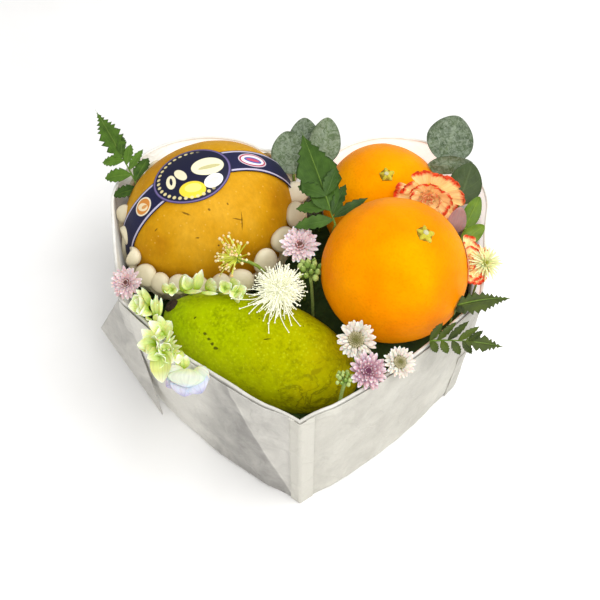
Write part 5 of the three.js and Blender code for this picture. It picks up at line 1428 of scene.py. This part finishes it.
LEFT_HEADS = (
    (-94.7, -77.6, 91, 9, 215, 40, 1.2), (-83, -98, 90, 6.5, 200, 55, 1.2),
    (-84, -107, 89.5, 7, 215, 45, 1.1), (-79, -110, 90, 6.5, 300, 60, 1.2),
    (-81, -117, 88, 6.5, 245, 45, 1.1))
LEFT_PETALS = (
    (-79.7, -100.3, 91, -89.1, -91.3, 93, 3.6, 0.5, 0.9),
    (-79.7, -100.3, 91, -76.2, -91.5, 92, 3, 0.5, 1), (-81, -99, 92, -83, -89, 94, 3, -0.4, 0.8),
    (-78.6, -103, 91, -73.5, -108, 92, 2.6, 0.6, 1.3), (-80, -101, 92, -72.5, -99.5, 93, 2.4, 0.6, 1.2),
    (-84.6, -106, 91, -96.5, -109, 92, 3.8, 0.4, 0.6), (-84.6, -106, 91, -93, -97.5, 93, 3.4, 0.5, 0.9),
    (-85, -107, 91, -91, -117, 90, 3.2, 0.5, 0.9), (-82, -112, 91, -78.5, -134, 86, 6.4, 0.35, 0.4),
    (-81.7, -113, 91, -90, -118, 90, 4, 0.4, 0.8), (-80, -113, 91, -72, -121, 89, 3.6, 0.4, 0.7),
    (-71.5, -111, 91, -70.5, -122, 89, 3.8, 0.4, 0.5), (-89, -80, 89, -85.5, -71, 92, 1.7, 0.6, 1),
    (-88.5, -84, 89, -84.5, -77, 92, 1.5, 0.6, 1.2), (-87.5, -88, 89, -83.8, -84, 92, 1.7, 0.6, 1.2),
    (-90, -86, 89, -92.5, -92, 91, 2.2, 0.6, 1), (-79, -107.7, 90, -69, -104.5, 93, 0.9, 0.5, 1.2),
    (-79, -107.7, 90, -67, -109.5, 92.5, 0.9, 0.5, 0.9),
    (-79, -107.7, 90, -68.5, -113.5, 92, 0.9, 0.5, 1.2),
    (-79, -107.7, 90, -71.5, -101.5, 94, 0.8, 0.5, 1.1),
    (-79, -107.7, 90, -73, -115.5, 92, 0.9, 0.5, 1),
    (-79, -107.7, 90, -79.5, -118, 92, 0.9, 0.5, 1),
    (-79, -107.7, 90, -75.5, -98.5, 95, 0.8, 0.5, 1.1),
    (-79, -107.7, 90, -86.5, -112, 93, 0.9, 0.5, 1.2),
    (-89.2, -76, 91, -98.8, -67.5, 93, 2.6, 0.6, 0.9),
    (-89.6, -78.3, 91, -95.1, -66.8, 94, 2.2, 0.6, 1),
    (-90.5, -76.8, 90, -100.7, -74.5, 92, 3.6, 0.4, 0.8),
    (-90.8, -79.8, 90, -99.5, -82.9, 91, 4.2, 0.35, 0.7),
    (-90.8, -80.6, 90, -94.4, -87.5, 90, 3.4, 0.4, 0.7),
    (-84.9, -86.7, 90, -86.1, -72.3, 95, 1.6, 0.6, 1.1),
    (-84.4, -86, 90, -83, -74.6, 94, 1.5, -0.5, 0.9),
    (-86.2, -85.2, 90, -89, -75.3, 94, 1.7, 0.6, 0.9),
    (-82.5, -95.8, 90, -90.3, -91.3, 92, 3.4, 0.45, 0.8),
    (-82.4, -96.5, 90, -76, -91.4, 93, 3.2, -0.4, 0.7),
    (-82.9, -98, 90, -81.7, -106.9, 90, 4, 0.4, 0.7),
    (-84, -107.6, 90, -95.7, -108.4, 90, 4, 0.35, 0.6),
    (-83.5, -105.4, 90, -93, -102.5, 92, 3.4, 0.4, 0.7),
    (-82.1, -109.8, 90, -88.1, -116.4, 89, 3.6, 0.4, 0.7),
    (-76.1, -110.6, 90, -66.2, -108.4, 92, 1, 0.6, 1.2),
    (-76.1, -111.3, 90, -66.6, -112.8, 91, 1, 0.6, 1.2),
    (-76.1, -112, 90, -69.2, -117.1, 91, 1.1, 0.6, 1),
    (-76.8, -109.8, 90, -72.1, -105.5, 93, 1, 0.6, 1.2),
    (-77.3, -110.6, 90, -83.2, -107, 93, 1.1, 0.6, 1.2),
    (-68.4, -123.5, 89, -70.5, -114.9, 91, 3, 0.5, 0.5),
    (-67.3, -123.5, 89, -65.8, -115.7, 91, 2.8, 0.5, 0.5))
cluster("florets_left_spray", LEFT_HEADS, (-84, -76), "florets_left", 131, LEFT_PETALS)
UPPER_HEADS = (
    (-78, -64, 88.5, 4.6, 250, 60, 1), (-45.6, -63, 89, 6.2, 262, 60, 1),
    (-38.5, -65.5, 89, 6.4, 285, 50, 1))
UPPER_PETALS = (
    (-82.5, -66, 88, -81.5, -60.5, 92, 2.6, -0.5, 1),
    (-72.8, -64.5, 89, -66, -57.5, 96, 4.8, -0.6, 0.9),
    (-66.5, -64, 89, -71, -57, 95, 4, 0.5, 0.8),
    (-63, -65.5, 90, -59.1, -55.6, 99, 2.9, 0.7, 0.4),
    (-64, -65.5, 90, -62.6, -57, 97, 2.4, -0.5, 0.5),
    (-57.8, -64, 89, -51, -59.5, 94, 3.6, -0.6, 0.9), (-55, -66, 89, -49.5, -63, 92, 2.6, 0.5, 1),
    (-71, -66.5, 89.5, -58, -67, 91, 1.3, 0.4, 0.6),
    (-60.5, -66.5, 89.5, -48.5, -68.5, 90, 1.2, 0.4, 0.6),
    (-42, -62, 90, -34, -62, 95, 4.4, 0.5, 0.8),
    (-41, -68, 88, -33.8, -72.5, 91, 3.6, -0.5, 0.8))
cluster("florets_upper_spray", UPPER_HEADS, (-64, -52), "florets_upper", 132, UPPER_PETALS)

rng = np.random.default_rng(133)
blue = Skin()
loose_petals(blue, rng, ((-64.8, -125, 91.5, -65.3, -136.3, 90.5, 11.4, -0.12, -0.6),
                         (-67, -125, 90.5, -77.5, -131, 89.5, 5.6, -0.15, -0.5),
                         (-62, -125.5, 90.5, -52.5, -131.5, 89.5, 5.6, -0.15, -0.5)))
loose_petals(blue, rng, ((-65.5, -127, 88, -66.5, -140.2, 87, 9.2, 0, -0.5),
                         (-63, -127, 88, -57, -138.5, 87.5, 8, 0, -0.5),
                         (-67, -126, 88, -77, -134.5, 87.5, 5.6, 0, -0.5)), kind=2)
stem(blue, [(-62, -104, 66), (-63, -117, 80), (-64.3, -128, 86.5)], 1.1, 1)
piece("floret_blue_bloom", blue, [blue_white, stem_green, blue_rim], ["floret_blue"])


def bud_cluster(name, centre, size, foot, node_name, seed):
    """A head of closed buds, each a small egg with a pointed tip on its stalk. Bud k of 15 lies at
    turn k * GOLDEN, at radius 1.9 size ((k + 0.5) / 15)^0.5 on a dome that falls as its square."""
    rng = np.random.default_rng(seed)
    skin = Skin()
    centre = np.array(centre, float)
    count = 15
    k = np.arange(count)
    r = size * 1.9 * np.sqrt((k + 0.5) / count)
    spot = centre + grid(r * np.cos(k * GOLDEN), r * np.sin(k * GOLDEN), size * 0.9 - r ** 2 / (size * 3.6))
    skin.add(balls(spot, size * rng.uniform(0.36, 0.5, count), 9, 10, squash=(1, 1, 1.2)),
             tone=rng.uniform(0, 1, count))
    tips = spot + (spot - centre) * 0.12 + size * 0.45 * UP
    skin.add(balls(tips, size * 0.13, 5, 6), tone=1.0)
    for p in spot:
        stem(skin, [centre - size * 2 * UP, (centre + p) / 2 - size * 0.4 * UP, p], 0.4)
    stem(skin, [(*foot, STEM_Z), (*foot, 60.0), centre - size * 1.6 * UP], 1.1)
    piece(name, skin, [bud_green], [node_name])


bud_green = plain_growth("closed green bud", "#6d8c34", "#b9cb7a", 1.6, 0.55)
bud_cluster("buds_centre_head", (6.5, -54, 95), 4.4, (8, -50), "buds_centre", 141)
bud_cluster("buds_front_head", (25.8, -131.5, 90), 2.9, (24, -126), "buds_front", 142)


# Foliage

def leaflet_shape(t):
    """Half width of a toothed leaflet: the egg outline sin(pi t^0.74)^0.95 less a quarter of itself
    times a saw wave: forward teeth a fifth of the length apart, past its foot."""
    lance = np.clip(np.sin(np.pi * np.clip(t, 0, 1) ** 0.74), 0, 1) ** 0.95
    return lance * (1 - 0.26 * ((t * 5 + 0.3) % 1.0) * (t > 0.3) * (t < 0.97))


def swept(points, uv, frames, half, sweep, profile):
    """Blades with their margins drawn forwards, so that their teeth point to the tip: a point moves
    ahead by the sweep times the half width there times s^1.3, its share of the way to the margin."""
    s = np.abs(2 * uv[..., :1] - 1)
    t = uv[..., 1:]
    forward = sweep * s ** 1.3 * np.asarray(half, float)[:, None, None, None] * profile(t)
    return points + forward * frames[:, None, None, :, 0]


def fern(name, base, tip, up, foot, leaflets, tip_blade, node_name, finish, seed):
    """A compound leaf: a midrib, base to tip plus an arch of 10 t (1 - t), carries toothed leaflets.
    Each row of them is (place along the rib, angle to the rib, length, half width, side). From the
    tip blade's place they grow together into one blade whose half width is a lopsided sine arch
    less a saw wave: place, half width, teeth a side, depth of the teeth."""
    rng = np.random.default_rng(seed)
    base, tip, up = (np.array(x, float) for x in (base, tip, up))
    skin = Skin(True)
    t = column(0, 1, 30)
    line = base + (tip - base) * t + 10 * UP * t * (1 - t)
    ahead, side, over = leaf_way(base, tip, up)
    places, angles, lengths, widths, sides = (np.array(x, float) for x in zip(*leaflets))
    roots = np.stack([np.interp(places, t[:, 0], line[:, k]) for k in range(3)], axis=-1)
    a = np.radians(angles + rng.normal(0, 3, len(angles))) * sides
    out = ahead * np.cos(a)[:, None] + side * np.sin(a)[:, None]
    tilt = rng.normal(0.06, 0.07, len(a))
    out = unit(out + over * tilt[:, None])
    cross = unit(np.cross(np.broadcast_to(over, out.shape), out))
    frames = np.stack([out, cross, np.cross(out, cross)], axis=-1)
    points, uv = blades(roots, frames, lengths * rng.normal(1, 0.03, len(a)), widths, leaflet_shape,
                        bend=-0.25 + rng.normal(0, 0.1, len(a)), cup=0.18, thick=0.3, rows=46, around=12)
    points = swept(points, uv, frames, widths, 0.6, leaflet_shape)
    skin.add(points, uv, rng.uniform(0.1, 0.9, len(a)))
    place, half, teeth, deep = tip_blade

    def blade_shape(t):
        arch = np.sin(np.pi * np.clip(t * 0.97 + 0.03, 0, 1) ** 0.6)
        whole = np.clip(arch, 0, 1) ** 0.85 * (1.13 - 0.5 * t)
        tooth = (t * teeth + 0.22 * np.sin(9 * t) + 0.1 * np.sin(23 * t)) % 1.0
        return whole * (1 - deep * (1 + 0.25 * np.sin(8 * t + 1)) * tooth * (t > 0.04) * (t < 0.97))

    start = np.array([np.interp(place, t[:, 0], line[:, k]) for k in range(3)])
    way = unit(tip - start)
    across = unit(np.cross(over, way))
    frame_ = np.stack([way, across, np.cross(way, across)], axis=-1)[None]
    points, uv = blades(start[None], frame_, np.linalg.norm(tip - start), half, blade_shape, bend=-0.16,
                        cup=0.12, thick=0.3, rows=96, around=16)
    points = swept(points, uv, frame_, [half], 0.75, blade_shape)
    skin.add(points, uv, 0.55)
    skin.add(tubes(line[None] - over * 0.5, 0.7 * (1 - 0.92 * t[:, 0])[None], 7), tone=0.1, kind=1)
    stem(skin, [foot, (np.array(foot) + base) / 2 + 3 * UP, line[1]], 0.84, 1, 0.1)
    piece(name, skin, [finish, stem_green], [node_name])


fern("fern_left_leaf", (-104, 17, 92), (-139, 84, 102), (0.2, -0.75, 0.6), (-106, 38, 20),
     [(0.02, 78, 18, 5.2, 1), (0.17, 68, 18, 6.0, 1), (0.33, 62, 16, 4.8, 1), (0.1, 48, 19, 5.6, -1),
      (0.22, 62, 17, 3.6, -1), (0.28, 32, 15, 3.8, -1), (0.4, 26, 15, 3.6, -1)], (0.36, 8.9, 9, 0.44),
     "fern_left", fern_green, 151)
fern("fern_centre_leaf", (22.5, -31, 108), (1, 37, 126), (0.1, -0.72, 0.68), (8, -12, 20),
     [(0.08, 83, 25, 5.4, 1), (0.2, 69, 21, 5.2, 1), (0.12, 40, 25, 4.4, -1), (0.1, 76, 26, 4.0, -1),
      (0.3, 50, 20, 5.5, 1), (0.3, 34, 22, 5.5, -1)], (0.16, 14.2, 6, 0.22), "fern_centre", fern_deep, 152)
fern("fern_right_high_leaf", (90, -80, 92), (125.5, -78.5, 99), (0, -0.55, 0.8), (98, -60, 20),
     [(0.05, 60, 8, 2.2, 1), (0.1, 50, 7, 2.2, -1)], (0.02, 7.2, 10, 0.42), "fern_right_high",
     fern_dark, 153)
fern("fern_right_low_leaf", (76, -106, 93), (118, -112.5, 96), (0, -0.5, 0.85), (76, -84, 20),
     [(0.0, 56, 13, 2.6, 1), (0.1, 50, 16, 2.4, 1), (0.24, 46, 17, 2.5, 1), (0.38, 43, 15, 2.4, 1),
      (0.52, 38, 11, 2.2, 1), (0.03, 66, 8, 2.8, -1), (0.16, 62, 9, 2.9, -1), (0.3, 56, 10, 2.9, -1),
      (0.44, 50, 9.5, 2.6, -1)], (0.48, 5.4, 6, 0.5), "fern_right_low", fern_dark, 154)


def broad_leaf(name, base, tip, up, half, finish, node_name, seed, slot="leaf"):
    """A broad leaf on its stem: its half width is the arch sin(pi t^0.85)^0.6, with a shallow cup and
    a slightly waved margin."""
    rng = np.random.default_rng(seed)
    base, tip, up = (np.array(x, float) for x in (base, tip, up))
    ahead, side, over = leaf_way(base, tip, up)
    frames = np.stack([ahead, side, over], axis=-1)[None]

    def shape(t):
        return np.clip(np.sin(np.pi * np.clip(t, 0, 1) ** 0.85), 0, 1) ** 0.6

    def waved(t, s):
        return 0.5 * np.sin(9 * t + seed) * s ** 2 + 0.35 * np.sin(5 * t + 4 * s)

    points, uv = blades(base[None], frames, np.linalg.norm(tip - base), half, shape, cup=0.16, thick=0.35,
                        wave=waved, rows=40, around=40)
    skin = Skin(True).add(points, uv, 0.6 + 0.3 * rng.uniform(-1, 1))
    stem(skin, [(*base[:2], STEM_Z), (*base[:2], (base[2] + STEM_Z) / 2), base + ahead * 1.5], 1.0, 1)
    piece(name, skin, [finish, stem_green], [node_name])


mauve_leaf = petal_skin("mauve petal", "#7d5a55", "#9f7a76", "#b3908d", vein=0.25)

# Broad leaves: piece, base, tip, direction over the blade, half width, finish, node, seed and slot
for leaf in (
    ("gum_leaf_a", (-4, 34, 90), (-9, 60, 104), (0.1, -0.75, 0.65), 13, gum_leaf, "leaf_round_a", 161),
    ("gum_leaf_b", (3, 46, 90), (3, 71, 106), (-0.1, -0.8, 0.6), 11, gum_leaf, "leaf_round_b", 162),
    ("gum_leaf_c", (14, 42, 91), (19, 69, 108), (0.2, -0.8, 0.6), 11, gum_leaf, "leaf_round_c", 163),
    ("gum_leaf_right_a", (94, 42, 94), (105, 66, 112), (0, -0.8, 0.6), 16, gum_leaf, "leaf_right_a", 164),
    ("gum_leaf_right_b", (84, 38, 93), (113, 34, 100), (0, -0.75, 0.66), 6, gum_leaf, "leaf_right_b", 165),
    ("gum_leaf_right_c", (102, 6, 91), (112, 31, 103), (0, -0.75, 0.66), 11, gum_dark, "leaf_right_c", 166),
    ("small_leaf_a", (103.5, -18, 93), (114, 1, 103), (0, -0.7, 0.7), 5.6, small_green,
     "leaf_small_a", 167),
    ("small_leaf_b", (101, -29, 93), (115.5, -20, 99), (0, -0.7, 0.7), 5.4, small_green,
     "leaf_small_b", 168),
    ("mauve_petal_leaf", (97, -20, 92), (101.5, -8, 103), (0.1, -0.8, 0.6), 6, mauve_leaf, "petal_mauve",
     169, "petal_mauve")):
    broad_leaf(*leaf)


# Floor, lights and camera

FLOOR_HALF = 4000.0
CAMERA_AT = (0, -0.5412, 0.6683)  # metres, as all places of lights and camera
LENS = 73.8
SENSOR = 36.0
SKY_STRENGTH = 0.56


def floor_skin():
    """A matt off-white table top with the faintest grain."""
    material, tree = finish_of("pale table top", 0.75)
    spot = node(tree, "TexCoord").outputs["Object"]
    grain = node(tree, "TexNoise", {"Vector": spot, "Scale": every(60), "Detail": 3.0})
    colour = node(tree, "ValToRGB", {"Fac": grain}, stops=[(0.3, "#f7f6f4"), (0.7, "#fbfaf9")])
    return finished(material, Base_Color=colour)


def placed(name, data, place, aim=None):
    """An object in the scene at a place in metres; a lamp or camera also looks at a point."""
    obj = bpy.data.objects.new(name, data)
    obj.location = place
    if aim is not None:
        way = np.array(aim, float) - np.array(place, float)
        obj.rotation_euler = Vector(way).to_track_quat("-Z", "Y").to_euler()
    bpy.context.scene.collection.objects.link(obj)
    return obj


flat = grid(column(-FLOOR_HALF, FLOOR_HALF, 9), row(-FLOOR_HALF, FLOOR_HALF, 9), 0.0)
floor = placed("table_top", Skin().add(flat).mesh("table_top"), (0, 0, 0))
floor.data.materials.append(floor_skin())

world = bpy.data.worlds.new("studio")
bpy.context.scene.world = world
world.use_nodes = True
sky = world.node_tree.nodes["Background"].inputs
sky["Color"].default_value = linear("#ffffff")
sky["Strength"].default_value = SKY_STRENGTH

# Square soft boxes: name, place, aim, size and power, in metres and watts
for name, place, aim, size, power in (
    ("key_soft_box", (0.62, -0.06, 1.18), (0, 0, 0.06), 1.1, 10.8),
    ("front_soft_box", (0.15, -0.95, 1.1), (0, 0, 0.05), 0.9, 9.5)):
    light = bpy.data.lights.new(name, "AREA")
    light.size = size
    light.energy = power
    placed(name, light, place, aim)

camera = bpy.data.cameras.new("camera")
camera.sensor_width = SENSOR
camera.lens = LENS
bpy.context.scene.camera = placed("camera", camera, CAMERA_AT, (0, 0, 0))
bpy.context.scene.view_settings.view_transform = "Standard"
